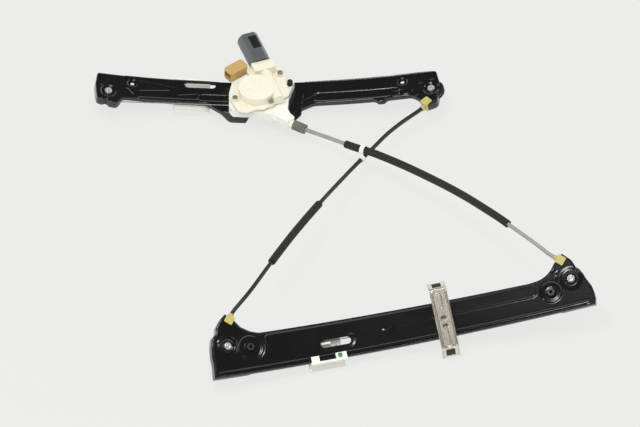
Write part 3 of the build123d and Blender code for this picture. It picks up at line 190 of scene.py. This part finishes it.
finishes = {
    "rail": blackPaint("railPaint", railPaint),
    "white": plastic(
        "whiteNylon", (0.90, 0.89, 0.82), (0.80, 0.78, 0.69), 0.36,
        stain=(0.5, 0.42, 0.22), stainAmount=0.12,
    ),
    "ivory": plastic(
        "ivoryNylon", (0.88, 0.85, 0.70), (0.80, 0.75, 0.58), 0.33,
        stain=(0.5, 0.40, 0.2), stainAmount=0.12,
    ),
    "pulley": plastic(
        "pulleyNylon", (0.014, 0.014, 0.014), (0.024, 0.024, 0.024), 0.3,
        stain=(0.05, 0.045, 0.04),
    ),
    "black": plastic(
        "blackNylon", (0.012, 0.012, 0.012), (0.02, 0.02, 0.02), 0.35,
        stain=(0.05, 0.045, 0.04),
    ),
    "motor": plastic(
        "motorPaint", (0.125, 0.135, 0.137), (0.085, 0.092, 0.093), 0.3,
        stain=(0.06, 0.05, 0.045),
    ),
    "dullZinc": metal("dullZincPlate", (0.50, 0.48, 0.42), (0.34, 0.32, 0.27), 0.5),
    "zinc": metal("zincPlate", (0.78, 0.77, 0.73), (0.56, 0.53, 0.46), 0.34),
    "darkSteel": metal("blackenedSteel", (0.10, 0.10, 0.10), (0.05, 0.05, 0.05), 0.4),
    "steel": metal("turnedSteel", (0.56, 0.56, 0.56), (0.4, 0.4, 0.4), 0.25),
    "bracket": metal("bracketZinc", (0.80, 0.76, 0.66), (0.46, 0.40, 0.30), 0.3, metallic=0.84),
    "copper": metal("copper", (0.75, 0.42, 0.24), (0.5, 0.27, 0.14), 0.3),
    "ferrite": plastic("ferrite", (0.05, 0.05, 0.055), (0.035, 0.035, 0.04), 0.6),
    "ochre": plastic(
        "ochreNylon", (0.60, 0.40, 0.15), (0.50, 0.32, 0.11), 0.34,
        stain=(0.3, 0.18, 0.05), stainAmount=0.15,
    ),
    "khaki": plastic(
        "khakiNylon", (0.60, 0.53, 0.17), (0.48, 0.42, 0.13), 0.36,
        stain=(0.2, 0.17, 0.06), stainAmount=0.2,
    ),
    "greySheath": plastic(
        "greySheath", (0.38, 0.37, 0.385), (0.27, 0.255, 0.235), 0.36,
        stain=(0.13, 0.115, 0.07),
    ),
    "blackSheath": plastic(
        "blackSheath", (0.014, 0.014, 0.014), (0.03, 0.029, 0.026), 0.38,
        stain=(0.08, 0.07, 0.05),
    ),
    "collar": plastic(
        "collarNylon", (0.20, 0.195, 0.15), (0.13, 0.125, 0.095), 0.5,
        stain=(0.06, 0.055, 0.03),
    ),
    "foam": foam("foam"),
    "rubber": plastic("rubber", (0.014, 0.014, 0.014), (0.022, 0.022, 0.021), 0.6),
    "rope": rope("wireRope", (0.62, 0.62, 0.60), (0.20, 0.20, 0.19)),
    "green": plastic("greenNylon", (0.05, 0.30, 0.13), (0.035, 0.2, 0.09), 0.42),
}
finishOf = {
    "rail": "drive_rail slave_rail",
    "white": "drum_housing front_carrier rear_carrier cable_clip connector_foot cable_drum",
    "ivory": "gear_housing worm_wheel",
    "pulley": "drive_left_pulley drive_right_pulley slave_left_pulley slave_right_pulley",
    "black": "gear_cover brush_holder pulley_guards",
    "motor": "motor_can",
    "darkSteel": "mount_nuts",
    "dullZinc": "motor_screws drum_housing_screws",
    "zinc": "pulley_rivets bracket_rivets drum_axle tension_spring "
            "front_glass_inserts rear_glass_inserts",
    "steel": "worm motor_shaft armature_core front_cable_nipples rear_cable_nipples",
    "bracket": "cross_bracket",
    "copper": "commutator motor_bushes connector_pins",
    "ferrite": "motor_magnets motor_brushes",
    "ochre": "connector",
    "khaki": "drive_right_end_fitting slave_left_end_fitting slave_right_end_fitting",
    "greySheath": "return_sheath",
    "blackSheath": "crossing_sheath",
    "collar": "adjuster_collar",
    "foam": "return_foam_sleeve crossing_foam_sleeve",
    "rubber": "rubber_stop bracket_pads front_glass_pad rear_glass_pad",
    "rope": "drum_cable crossing_cable return_cable",
    "green": "rear_carrier_marker",
}
for finish, nodes in finishOf.items():
    for name in nodes.split():
        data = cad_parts[name].data
        data.materials.clear()
        data.materials.append(finishes[finish])
print("finishes on the frame")

# frames of the two rails, in metres
bench = {"x": -0.04095, "y": 0.02975, "bend": 1.45}


def railFrame(x, total, height, turn, rise, lean):
    t, r, l = (math.radians(a) for a in (turn, rise, lean))
    along = np.array([math.cos(t) * math.cos(r), math.sin(t) * math.cos(r), math.sin(r)])
    level = np.array([-math.sin(t), math.cos(t), 0.0])
    face = np.cross(along, level) * math.cos(l) - level * math.sin(l)
    origin = np.array([x + bench["x"], total - height + bench["y"], height])
    return origin, along, np.cross(face, along), face


driveFrame = railFrame(-0.0956, 0.2723, 0.0218, 0, 0, 0)
slaveFrame = railFrame(0.136, -0.258, 0.0372, 12.99, 2.8, 33.0)


def onRail(rail, u, v, n):
    # a point u along the bend, v across and n off the face, all in millimetres
    origin, along, across, face = rail
    turn = u / 1000 / bench["bend"]
    out = face * np.cos(turn)[..., None] - along * np.sin(turn)[..., None]
    spoke = out * (bench["bend"] - n / 1000)[..., None]
    return origin + face * bench["bend"] - spoke + across * (v / 1000)[..., None]


def makeMesh(name, points, faces, finish, body, smooth=True):
    mesh = bpy.data.meshes.new(name)
    mesh.from_pydata(points.reshape(-1, 3).tolist(), [], faces)
    mesh.update()
    piece = bpy.data.objects.new(name, mesh)
    bpy.context.scene.collection.objects.link(piece)
    mesh.materials.append(finishes[finish])
    if smooth:
        mesh.polygons.foreach_set("use_smooth", np.ones(len(mesh.polygons), bool))
    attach(piece, body)
    return piece


def roundPath(corners, closed=False):
    # a polyline whose corners are turned into arcs; each corner is (u, v, radius)
    points = []
    count = len(corners)
    for i, (u, v, radius) in enumerate(corners):
        here = np.array([u, v], float)
        if not closed and i in (0, count - 1):
            points.append(here)
            continue
        back = np.array(corners[i - 1][:2], float) - here
        ahead = np.array(corners[(i + 1) % count][:2], float) - here
        lengthBack, lengthAhead = np.hypot(*back), np.hypot(*ahead)
        back, ahead = back / lengthBack, ahead / lengthAhead
        half = math.acos(np.clip(back @ ahead, -1, 1)) / 2
        reach = min(radius / math.tan(half), 0.48 * lengthBack, 0.48 * lengthAhead)
        radius = reach * math.tan(half)
        middle = here + (back + ahead) / np.hypot(*(back + ahead)) * radius / math.sin(half)
        start, end = here + back * reach - middle, here + ahead * reach - middle
        a, b = math.atan2(start[1], start[0]), math.atan2(end[1], end[0])
        b = a + (b - a + math.pi) % (2 * math.pi) - math.pi
        for angle in np.linspace(a, b, 9):
            points.append(middle + radius * np.array([math.cos(angle), math.sin(angle)]))
    return np.array(points)


def atLengths(path, fractions):
    # points at fractions of a path's length
    steps = np.hypot(*np.diff(path, axis=0).T)
    run = np.concatenate([[0], np.cumsum(steps)])
    return np.stack([np.interp(np.asarray(fractions) * run[-1], run, path[:, k]) for k in (0, 1)], axis=-1)


def smooth(x):
    x = np.clip(x, 0, 1)
    return x * x * (3 - 2 * x)


def steady(fractions, even):
    # the fractions made always to rise, so that no two points fall together
    return 0.97 * np.maximum.accumulate(np.clip(fractions, 0, 1)) + 0.03 * even


def boxDistance(u, v, shape):
    # signed distance to a rounded box: (u, v, half length, half width, corner radius, turn in degrees)
    cu, cv, hu, hv, r, turn = shape
    c, s = math.cos(math.radians(turn)), math.sin(math.radians(turn))
    x, y = (u - cu) * c + (v - cv) * s, -(u - cu) * s + (v - cv) * c
    qx, qy = np.abs(x) - (hu - r), np.abs(y) - (hv - r)
    return np.hypot(np.maximum(qx, 0), np.maximum(qy, 0)) + np.minimum(np.maximum(qx, qy), 0) - r


def pressedHeight(u, v, forms):
    # each form is (rounded box, height, width of its sloped side): the sum of smooth steps
    total = np.zeros_like(u)
    for shape, height, side in forms:
        total += height * smooth(0.5 - boxDistance(u, v, shape) / side)
    return total


def pressedRail(name, rail, settings, body):
    # The face is a Coons patch between four edge curves, u and v the plan, n the pressed height.
    # Rows round its border then follow a quarter circle and go down to the flange's depth.
    top, right, bottom, left = (roundPath(settings[k]) for k in ("top", "right", "bottom", "left"))
    across, along = settings["rows"], settings["columns"]
    s, t = np.linspace(0, 1, along), np.linspace(0, 1, across)
    upper, lower = atLengths(top, s), atLengths(bottom, s)
    if settings["match"] == "bottom":
        spanL = bottom[-1, 0] - bottom[0, 0]
        upper = atLengths(top, steady((lower[:, 0] - bottom[0, 0]) / spanL, s))
    else:
        lower = atLengths(bottom, steady((upper[:, 0] - top[0, 0]) / (top[-1, 0] - top[0, 0]), s))
    west, east = atLengths(left, t), atLengths(right, t)
    loop = np.concatenate([upper[:-1], east[::-1][:-1], lower[::-1][:-1], west[:-1]])
    forward, backward = np.roll(loop, -1, 0) - loop, loop - np.roll(loop, 1, 0)
    tangent = forward / np.maximum(np.hypot(*forward.T)[:, None], 1e-9)
    tangent = tangent + backward / np.maximum(np.hypot(*backward.T)[:, None], 1e-9)
    tangent /= np.hypot(*tangent.T)[:, None]
    outward = np.stack([-tangent[:, 1], tangent[:, 0]], axis=-1)
    bendAt = settings["bend"]
    inner = loop - outward * bendAt
    a, b, c = along - 1, along + across - 2, 2 * along + across - 3
    up, es = inner[: a + 1], inner[a : b + 1][::-1]
    lo = inner[b : c + 1][::-1]
    we = np.concatenate([inner[c:], inner[:1]])
    sGrid, tGrid = s[:, None, None], t[None, :, None]
    patch = (1 - tGrid) * lo[:, None] + tGrid * up[:, None] + (1 - sGrid) * we[None] + sGrid * es[None]
    patch -= (1 - sGrid) * (1 - tGrid) * lo[0] + sGrid * (1 - tGrid) * lo[-1]
    patch -= (1 - sGrid) * tGrid * up[0] + sGrid * tGrid * up[-1]
    u, v = patch[..., 0], patch[..., 1]
    n = pressedHeight(u, v, settings["forms"])
    # holes: faces inside go, and the points left inside move out onto the hole's edge
    flat = np.arange(along * across).reshape(along, across)
    quads = np.stack([flat[:-1, :-1], flat[1:, :-1], flat[1:, 1:], flat[:-1, 1:]], axis=-1).reshape(-1, 4)
    u, v, n = u.ravel(), v.ravel(), n.ravel()
    for hole in settings["holes"]:
        d = boxDistance(u, v, hole)
        quads = quads[~(d[quads] < 0.0).all(axis=1)]
        e = 0.05
        gu, gv = (boxDistance(u + e, v, hole) - d) / e, (boxDistance(u, v + e, hole) - d) / e
        size = np.maximum(np.hypot(gu, gv), 1e-6)
        near = d < 0
        u, v = np.where(near, u - d * gu / size, u), np.where(near, v - d * gv / size, v)
    border = np.concatenate([flat[:, -1][:-1], flat[-1, ::-1][:-1], flat[::-1, 0][:-1], flat[0, :][:-1]])
    count = len(border)
    depth = np.full(count, settings["flange"])
    for low, high, bottomOf, topOf, deep, before, after in settings["deeper"]:
        inside = smooth((loop[:, 0] - low) / before + 0.5) * smooth((high - loop[:, 0]) / after + 0.5)
        inside = inside * ((loop[:, 1] >= bottomOf) & (loop[:, 1] <= topOf))
        depth = depth + (deep - depth) * inside
    rowsU, rowsV, rowsN = [u], [v], [n]
    edgeN = n[border]
    quarter = np.radians(np.linspace(0, 90, 7))[1:]
    for angle in quarter:
        rowsU.append(loop[:, 0] - outward[:, 0] * bendAt * (1 - math.sin(angle)))
        rowsV.append(loop[:, 1] - outward[:, 1] * bendAt * (1 - math.sin(angle)))
        rowsN.append(edgeN * math.cos(angle) - bendAt * (1 - math.cos(angle)))
    for share in (0.33, 0.66, 1.0):
        rowsU.append(loop[:, 0])
        rowsV.append(loop[:, 1])
        rowsN.append(-bendAt - (depth - bendAt) * share)
    start = along * across
    previous = border
    ring = []
    for k in range(len(quarter) + 3):
        row = start + k * count + np.arange(count)
        ring.append(np.stack([previous, np.roll(previous, -1), np.roll(row, -1), row], axis=-1))
        previous = row
    quads = np.concatenate([quads] + ring)
    u, v, n = np.concatenate(rowsU), np.concatenate(rowsV), np.concatenate(rowsN)
    points = onRail(rail, u, v, n)
    used = np.unique(quads)
    remap = np.zeros(len(points), int)
    remap[used] = np.arange(len(used))
    points, quads = points[used], remap[quads]
    piece = makeMesh(name, points, quads.tolist(), "rail", body)
    sheet = piece.modifiers.new("sheet", "SOLIDIFY")
    sheet.thickness = 0.0015
    sheet.offset = -1
    return piece


driveRail = {
    "match": "bottom", "rows": 70, "columns": 520, "bend": 2.2, "flange": 7.5,
    "top": [(-254, 24.5, 0), (275, 24.5, 0)],
    "right": [(266, -52, 0), (285, -46, 9), (289, -4, 10), (283, 24.5, 6), (275, 24.5, 0)],
    "bottom": [
        (-263.2, -24, 0), (-261.2, -33, 5), (-252, -35.5, 5), (-247, -31.5, 3), (-241, -38.5, 6),
        (-229, -39, 7),
        (-221, -25.5, 6), (-212, -24.5, 6), (-86, -24.5, 20), (-60, -44, 14),
        (-44, -46, 12), (0, -47, 30), (24, -56, 20), (46, -72, 9), (58, -66, 6), (56, -46, 10), (68, -34, 20),
        (86, -24.5, 24), (184, -24.5, 8), (189, -31, 5), (199, -31, 5), (204, -24.5, 8), (243, -24.5, 14),
        (256, -35, 14), (266, -52, 0),
    ],
    "left": [(-263.2, -24, 0), (-265, 0, 30), (-261.7, 24.5, 8), (-254, 24.5, 0)],
    "deeper": [
        (-300, -222, -200, 200, 13.4, 5, 5), (256, 320, -200, 200, 13.4, 5, 5),
        (-55, -20, -200, -38, 21.6, 18, 8),
    ],
    "forms": [
        ((155, -11, 68, 9, 4, -0.5), -1.6, 4.2),
        ((75, -13, 20, 0.8, 0.8, 31), -0.6, 2.6),
        ((223, -11, 9, 0.8, 0.8, 0), 0.7, 2.2),
        ((-30, -12.2, 70, 7.0, 6, 0), -1.6, 3.4),
        ((-169.6, -5.2, 25, 0.9, 0.9, 6.7), 0.8, 3.0),
        ((-115.8, -9.5, 16, 0.9, 0.9, 9), 0.8, 3.0),
        ((-146, -20.3, 50, 0.8, 0.8, 1.8), 0.7, 2.6),
        ((-170.5, 13.7, 36, 0.8, 0.8, -9.6), -0.5, 3.0),
        ((-209.5, -12, 9, 2, 2, -52), 0.9, 2.6),
        ((-243.9, -13.7, 12.2, 12.2, 12.2, 0), -2.2, 3.0),
        ((274.8, -13.7, 12.2, 12.2, 12.2, 0), -2.2, 3.0),
        ((-205, 9, 8, 8, 8, 0), -2.2, 2.4),
        ((228, 9, 8, 8, 8, 0), -2.2, 2.4),
        ((257.8, -1.4, 3.2, 1.0, 1, 0), 0.9, 1.8),
        ((276.5, 4.0, 4, 1.0, 1, 0), 0.9, 1.8),
        ((245, -16, 1.2, 2, 1, 0), 0.8, 1.6),
        ((252, -27.5, 3, 1, 1, 20), 0.8, 1.6),
        ((234, -20.5, 4, 1, 1, 0), 0.8, 1.6),
        ((-256, -4.5, 3, 1, 1, 40), 0.8, 1.6),
    ],
    "holes": [
        (-96.5, 14.5, 25, 6, 6, 0), (-243.9, -13.7, 4.0, 4.0, 4.0, 0), (274.8, -13.7, 4.0, 4.0, 4.0, 0),
        (-205, 9, 3.3, 3.3, 3.3, 0), (228, 9, 3.3, 3.3, 3.3, 0),
    ],
}
slaveRail = {
    "match": "top", "rows": 76, "columns": 440, "bend": 2.2, "flange": 7.5,
    "top": [
        (-284, 73.4, 0), (-270, 60, 16), (-263, 49, 14), (-249, 39.5, 26), (-235, 34.8, 30), (211, 28.1, 40),
        (228, 30, 30), (240, 35.5, 26), (248, 42, 24), (256, 52, 16), (271, 64, 0),
    ],
    "right": [
        (306.6, -28.9, 0), (308.7, -20, 4), (308.5, -8.8, 6), (306.6, 1.9, 8), (300.4, 15.6, 10),
        (296.5, 27, 6),
        (290.5, 31.5, 3), (287.5, 40, 5), (284, 50, 12), (271, 64, 0),
    ],
    "bottom": [(-323.9, -28.9, 0), (306.6, -28.9, 0)],
    "left": [
        (-323.9, -28.9, 0), (-320.8, -4.5, 10), (-320.8, 7.5, 10), (-318.2, 23.8, 10), (-314, 37.4, 6),
        (-307.5, 42.5, 3), (-304.5, 47, 3), (-303.2, 54, 6), (-294, 65.4, 10), (-284, 73.4, 0),
    ],
    "deeper": [(-360, -262, -200, 200, 13.4, 5, 5), (250, 345, -200, 200, 13.4, 5, 5)],
    "forms": [
        ((-5, 17.2, 222, 10.0, 6, -0.6), -1.7, 3.6),
        ((-8, -22.0, 306, 2.2, 2, 0), -1.4, 2.4),
        ((-114.4, -2, 31, 11, 11, 0), -1.0, 6),
        ((-254.2, 13.6, 24, 24, 24, 0), -0.8, 3.0),
        ((-254.2, 13.6, 19, 19, 19, 0), -1.6, 3.2),
        ((240.9, 6.5, 17, 17, 17, 0), -1.8, 3.2),
        ((-254.2, 13.6, 9.5, 9.5, 9.5, 0), 0.6, 2.5),
        ((240.9, 6.5, 12.5, 12.5, 12.5, 0), -0.7, 2.5),
        ((240.9, 6.5, 8, 8, 8, 0), 0.6, 2.5),
        ((-290.7, 20.9, 16, 16, 16, 0), 1.6, 8.0),
        ((276.7, 20.9, 16, 16, 16, 0), 1.6, 8.0),
        ((-290.7, 20.9, 9.5, 9.5, 9.5, 0), -3.6, 4.5),
        ((276.7, 20.9, 9.5, 9.5, 9.5, 0), -3.6, 4.5),
        ((290, 30, 4, 1.2, 1, -60), 0.9, 1.8),
        ((251, 40, 3.2, 1.0, 1, 35), 0.8, 1.6),
        ((257, 35, 3.2, 1.0, 1, 35), 0.8, 1.6),
        ((255, 27.5, 2, 2.6, 1.8, 0), 0.9, 2.2),
        ((-304, 31, 3, 1.0, 1, 50), 0.8, 1.6),
        ((-26.6, 2.0, 9, 3.5, 3.5, 8), 1.2, 4.0),
    ],
    "holes": [
        (-114.4, -2.0, 25, 6, 6, 0), (-290.7, 20.9, 4.0, 4.0, 4.0, 0), (276.7, 20.9, 4.0, 4.0, 4.0, 0),
    ],
}
railPieces = [
    pressedRail("drivePressing", driveFrame, driveRail, "regulator_frame"),
    pressedRail("slavePressing", slaveFrame, slaveRail, "regulator_frame"),
]
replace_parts(railPieces[0], "drive_rail")
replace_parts(railPieces[1], "slave_rail")
print("rails pressed")


# turned rivet heads: a ring rolled over round a dished middle, r and height in millimetres
rivetHead = {
    "profile": [
        (0, 0.75), (1.0, 0.7), (1.8, 0.35), (2.5, 0.45), (3.2, 1.15), (4.1, 1.35), (4.9, 1.1), (5.4, 0.5),
        (5.5, -0.6),
    ],
    "turns": 48, "seat": 0.4,
}


def rivetHeads(name, places, settings, body):
    points, faces = [], []
    r, h = np.array(settings["profile"]).T
    fine = np.linspace(0, 1, 33)
    even = np.linspace(0, 1, len(r))
    r, h = np.interp(fine, even, r), np.interp(fine, even, h)
    angles = np.linspace(0, 2 * math.pi, settings["turns"], endpoint=False)
    for rail, along, across in places:
        first = len(points)
        radius, angle = np.meshgrid(r, angles, indexing="ij")
        u, v = along + radius * np.cos(angle), across + radius * np.sin(angle)
        n = np.repeat(h[:, None], len(angles), 1) + settings["seat"]
        points.extend(onRail(rail, u.ravel(), v.ravel(), n.ravel()).tolist())
        count = len(angles)
        for i in range(len(r) - 1):
            for j in range(count):
                k = (j + 1) % count
                inner, outer = first + i * count, first + (i + 1) * count
                faces.append((inner + j, outer + j, outer + k, inner + k))
    return makeMesh(name, np.array(points), faces, "zinc", body)


rivetHeads("pivotHeads", [
    (driveFrame, -243.9, -13.7), (driveFrame, 274.8, -13.7),
    (slaveFrame, -290.7, 20.9), (slaveFrame, 276.7, 20.9),
], rivetHead, "regulator_frame")

# the motor's hub frame: x along the drive rail, y across it, z off its face, in millimetres
hubPlace = {"along": -6.0, "across": -20.1, "motorTurn": 110.2}


def onHub(x, y, z, turn=0.0):
    origin, along, across, face = driveFrame
    a, t = hubPlace["along"] / 1000 / bench["bend"], math.radians(turn)
    forward, out = along * math.cos(a) + face * math.sin(a), face * math.cos(a) - along * math.sin(a)
    place = (np.array([value]) for value in (hubPlace["along"], hubPlace["across"], 0.0))
    start = onRail(driveFrame, *place)[0]
    xTurned, yTurned = x * math.cos(t) - y * math.sin(t), x * math.sin(t) + y * math.cos(t)
    return start + (forward * xTurned[..., None] + across * yTurned[..., None] + out * z[..., None]) / 1000


# moulded relief on the gear housing's lid: height = ring + spokes + boss over the polar radius and angle
lidRelief = {
    "radius": 27.6, "top": 34.0, "spokes": 7, "spokeWidth": 1.1, "spokeHeight": 0.7,
    "ringAt": 17.5, "boss": 4.6,
}


def lid(settings, body):
    radii = np.linspace(0, settings["radius"], 70)
    angles = np.linspace(0, 2 * math.pi, 260, endpoint=False)
    radius, angle = np.meshgrid(radii, angles, indexing="ij")
    spoke = np.abs(np.sin(angle * settings["spokes"] / 2)) * radius * 2 / settings["spokes"]
    reach = smooth((settings["ringAt"] - radius) / 1.5)
    rise = settings["spokeHeight"] * smooth(1.6 - spoke / settings["spokeWidth"]) * reach * smooth((radius - 3) / 2)
    rise = np.maximum(rise, 0.6 * smooth(1.6 - np.abs(radius - settings["ringAt"]) / 0.9))
    boss = smooth((settings["boss"] - radius) / 1.2 + 0.5) - 0.8 * smooth((2.4 - radius) / 0.9 + 0.5)
    rise = np.maximum(rise, boss)
    rise = np.maximum(rise, 0.5 * smooth(1.6 - np.abs(radius - 24.5) / 0.8))
    rise = rise + 0.12 - 0.6 * smooth((radius - settings["radius"] + 0.8) / 0.8)
    x, y = radius * np.cos(angle), radius * np.sin(angle)
    points = onHub(x, y, settings["top"] + rise, hubPlace["motorTurn"])
    flat = np.arange(radius.size).reshape(radius.shape)
    ahead = np.roll(flat, -1, 1)
    quads = np.stack([flat[:-1], flat[1:], ahead[1:], ahead[:-1]], axis=-1).reshape(-1, 4)
    return makeMesh("gearLid", points, quads.tolist(), "ivory", body)


lid(lidRelief, "regulator_frame")

# a bare black plate on the motor can, x along the motor, and rounded to the can's flat
canPlate = {"from": 78.0, "to": 107.0, "side": -30.5, "width": 14.0, "top": 39.75, "thick": 0.5}


def plate(settings, body):
    n = 24
    along, across = np.meshgrid(np.linspace(-1, 1, n), np.linspace(-1, 1, n), indexing="ij")
    edge = np.maximum(np.abs(along), np.abs(across))
    half = (settings["to"] - settings["from"]) / 2
    x = (settings["from"] + settings["to"]) / 2 + along * half
    y = settings["side"] + across * settings["width"] / 2
    z = settings["top"] + settings["thick"] * smooth((1 - edge) / 0.06) - 0.15
    points = onHub(x, y, z, hubPlace["motorTurn"])
    flat = np.arange(n * n).reshape(n, n)
    quads = np.stack([flat[:-1, :-1], flat[1:, :-1], flat[1:, 1:], flat[:-1, 1:]], axis=-1).reshape(-1, 4)
    return makeMesh("canPlate", points, quads.tolist(), "black", body)


plate(canPlate, "regulator_frame")

# the cross bracket: a sheet bent to the profile (v, n), pressed into a tub with a double rim,
# two tapered beads and a drawn cup round each rivet
crossBracket = {
    "profile": [(62, -6, 0), (50, 9, 5), (-48, 9, 5), (-60, -8, 0)],
    "middle": 63.4, "half": 13.5, "sheet": 2.0,
    "tub": (-1.5, 0, 49.0, 12.4, 5.5, 0), "rim": 2.1, "edge": 1.6, "lip": 1.5,
    "beads": [(40.5, 16.6, 1.4, 3.0), (-11.0, -46.0, 1.2, 3.4)], "bead": 2.0,
    "cups": [0.6, -12.6], "cupRadius": 4.6, "cupDepth": 9.0,
}


def bracket(settings, body):
    path = roundPath(settings["profile"])
    long, wide = 380, 72
    s, t = np.linspace(0, 1, long), np.linspace(-1, 1, wide)
    line = atLengths(path, s)
    tangent = np.gradient(line, axis=0)
    tangent /= np.hypot(*tangent.T)[:, None]
    normal = np.stack([tangent[:, 1], -tangent[:, 0]], axis=-1)
    place, share = np.meshgrid(line[:, 0], t, indexing="ij")
    aside = share * settings["half"]
    inside = boxDistance(place, aside, settings["tub"])
    rise = settings["rim"] * np.exp(-((inside + 1.6) / 0.75) ** 2)
    level = smooth((49 - np.abs(place + 1.5)) / 3)
    rise = rise + settings["edge"] * level * smooth((np.abs(aside) - 12.1) / 0.8)
    rise = rise + settings["lip"] * (1 - level) * smooth((np.abs(aside) - 11.9) / 1.2)
    for start, end, narrow, broad in settings["beads"]:
        share = np.clip((place - start) / (end - start), 0, 1)
        taper = (broad + (narrow - broad) * share) if start > 0 else (narrow + (broad - narrow) * share)
        reach = smooth((abs(end - start) / 2 - np.abs(place - (start + end) / 2)) / 4 + 0.5)
        rise = rise + settings["bead"] * reach * smooth((taper - np.abs(aside)) / 2.2 + 0.5)
    for across in settings["cups"]:
        away = np.hypot(place - across, aside)
        rise = rise - settings["cupDepth"] * smooth((settings["cupRadius"] - away) / 1.1)
    u = settings["middle"] + aside
    v = place + normal[:, 0][:, None] * rise
    n = line[:, 1][:, None] + settings["sheet"] + normal[:, 1][:, None] * rise
    points = onRail(slaveFrame, u.ravel(), v.ravel(), n.ravel())
    flat = np.arange(long * wide).reshape(long, wide)
    quads = np.stack([flat[:-1, :-1], flat[1:, :-1], flat[1:, 1:], flat[:-1, 1:]], axis=-1).reshape(-1, 4)
    piece = makeMesh("bracketPressing", points, quads.tolist(), "bracket", body)
    thick = piece.modifiers.new("sheet", "SOLIDIFY")
    thick.thickness = settings["sheet"] / 1000
    thick.offset = -1
    return piece


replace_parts(bracket(crossBracket, "regulator_frame"), "cross_bracket")
print("heads, lid, plate and bracket")

# camera, light and floor
view = {"pixel": 0.0016, "centreX": -0.04095, "centreSum": 0.02975, "distance": 4.0}
camera = bpy.data.objects.new("camera", bpy.data.cameras.new("camera"))
bpy.context.scene.collection.objects.link(camera)
camera.data.type = "ORTHO"
camera.data.ortho_scale = 640 * view["pixel"]
away = np.array([0, -math.sqrt(0.5), math.sqrt(0.5)])
target = np.array([view["centreX"], view["centreSum"] - 0.03, 0.03])
camera.location = target + away * view["distance"]
camera.rotation_euler = (math.radians(45), 0, 0)
bpy.context.scene.camera = camera

floorMesh = bpy.data.meshes.new("floor")
corners = [(x, y, -0.0005) for x, y in ((-6, -6), (6, -6), (6, 6), (-6, 6))]
floorMesh.from_pydata(corners, [], [(0, 1, 2, 3)])
floor = bpy.data.objects.new("floor", floorMesh)
bpy.context.scene.collection.objects.link(floor)
f = Paint("floor")
rays = f.tree.nodes.new("ShaderNodeLightPath")
seen = Sock(f, rays.outputs["Is Camera Ray"])
glow = f.add("ShaderNodeEmission", None, {"Color": (0.825, 0.835, 0.815, 1), "Strength": 1.0})
matt = f.add("ShaderNodeBsdfDiffuse", None, {"Color": (0.80, 0.80, 0.79, 1)})
mixed = f.add("ShaderNodeMixShader", None, {0: seen * 0.9, 1: matt, 2: glow})
f.tree.links.new(mixed.socket, f.output.inputs[0])
floorMesh.materials.append(f.material)

# the sky: plain white light on matt things; gloss sees a dark room with a bright horizon
sky = {"light": 1.0, "ceiling": 0.03, "horizon": 1.3, "low": 0.24, "high": 0.46}
world = bpy.data.worlds.new("studio")
bpy.context.scene.world = world
w = Paint("studio", world, "ShaderNodeOutputWorld")
paths = w.tree.nodes.new("ShaderNodeLightPath")
glossy = Sock(w, paths.outputs["Is Glossy Ray"])
direction = w.add("ShaderNodeSeparateXYZ", None, {0: w.worldPlace()}, out=2)
fade = w.ramp(direction, sky["low"], sky["high"])
mirrored = w.blend(fade, (sky["horizon"],) * 3, (sky["ceiling"],) * 3)
shown = w.blend(glossy, (0.82 * sky["light"], 0.83 * sky["light"], 0.84 * sky["light"]), mirrored)
background = w.add("ShaderNodeBackground", None, {"Color": shown, "Strength": 1.0})
w.tree.links.new(background.socket, w.output.inputs[0])


def softBox(name, place, aim, width, height, power):
    lamp = bpy.data.lights.new(name, "AREA")
    lamp.shape = "RECTANGLE"
    lamp.size, lamp.size_y, lamp.energy = width, height, power
    holder = bpy.data.objects.new(name, lamp)
    bpy.context.scene.collection.objects.link(holder)
    direction = np.array(aim, float) - np.array(place, float)
    yaw = math.atan2(direction[0], -direction[1])
    pitch = math.atan2(math.hypot(direction[0], direction[1]), -direction[2])
    holder.visible_camera = False
    holder.location = place
    holder.rotation_euler = (pitch, 0, yaw)
    return holder


softBox("topBox", (-0.5, -0.5, 2.4), (0, 0, 0), 0.9, 0.7, 30)
softBox("leftBox", (-2.0, -0.2, 1.5), (0, 0, 0), 0.5, 0.9, 7)
softBox("rightBox", (1.5, 0.7, 1.9), (0, 0, 0), 0.5, 0.5, 22)
bpy.context.scene.view_settings.view_transform = "Standard"
print("camera, light and floor")
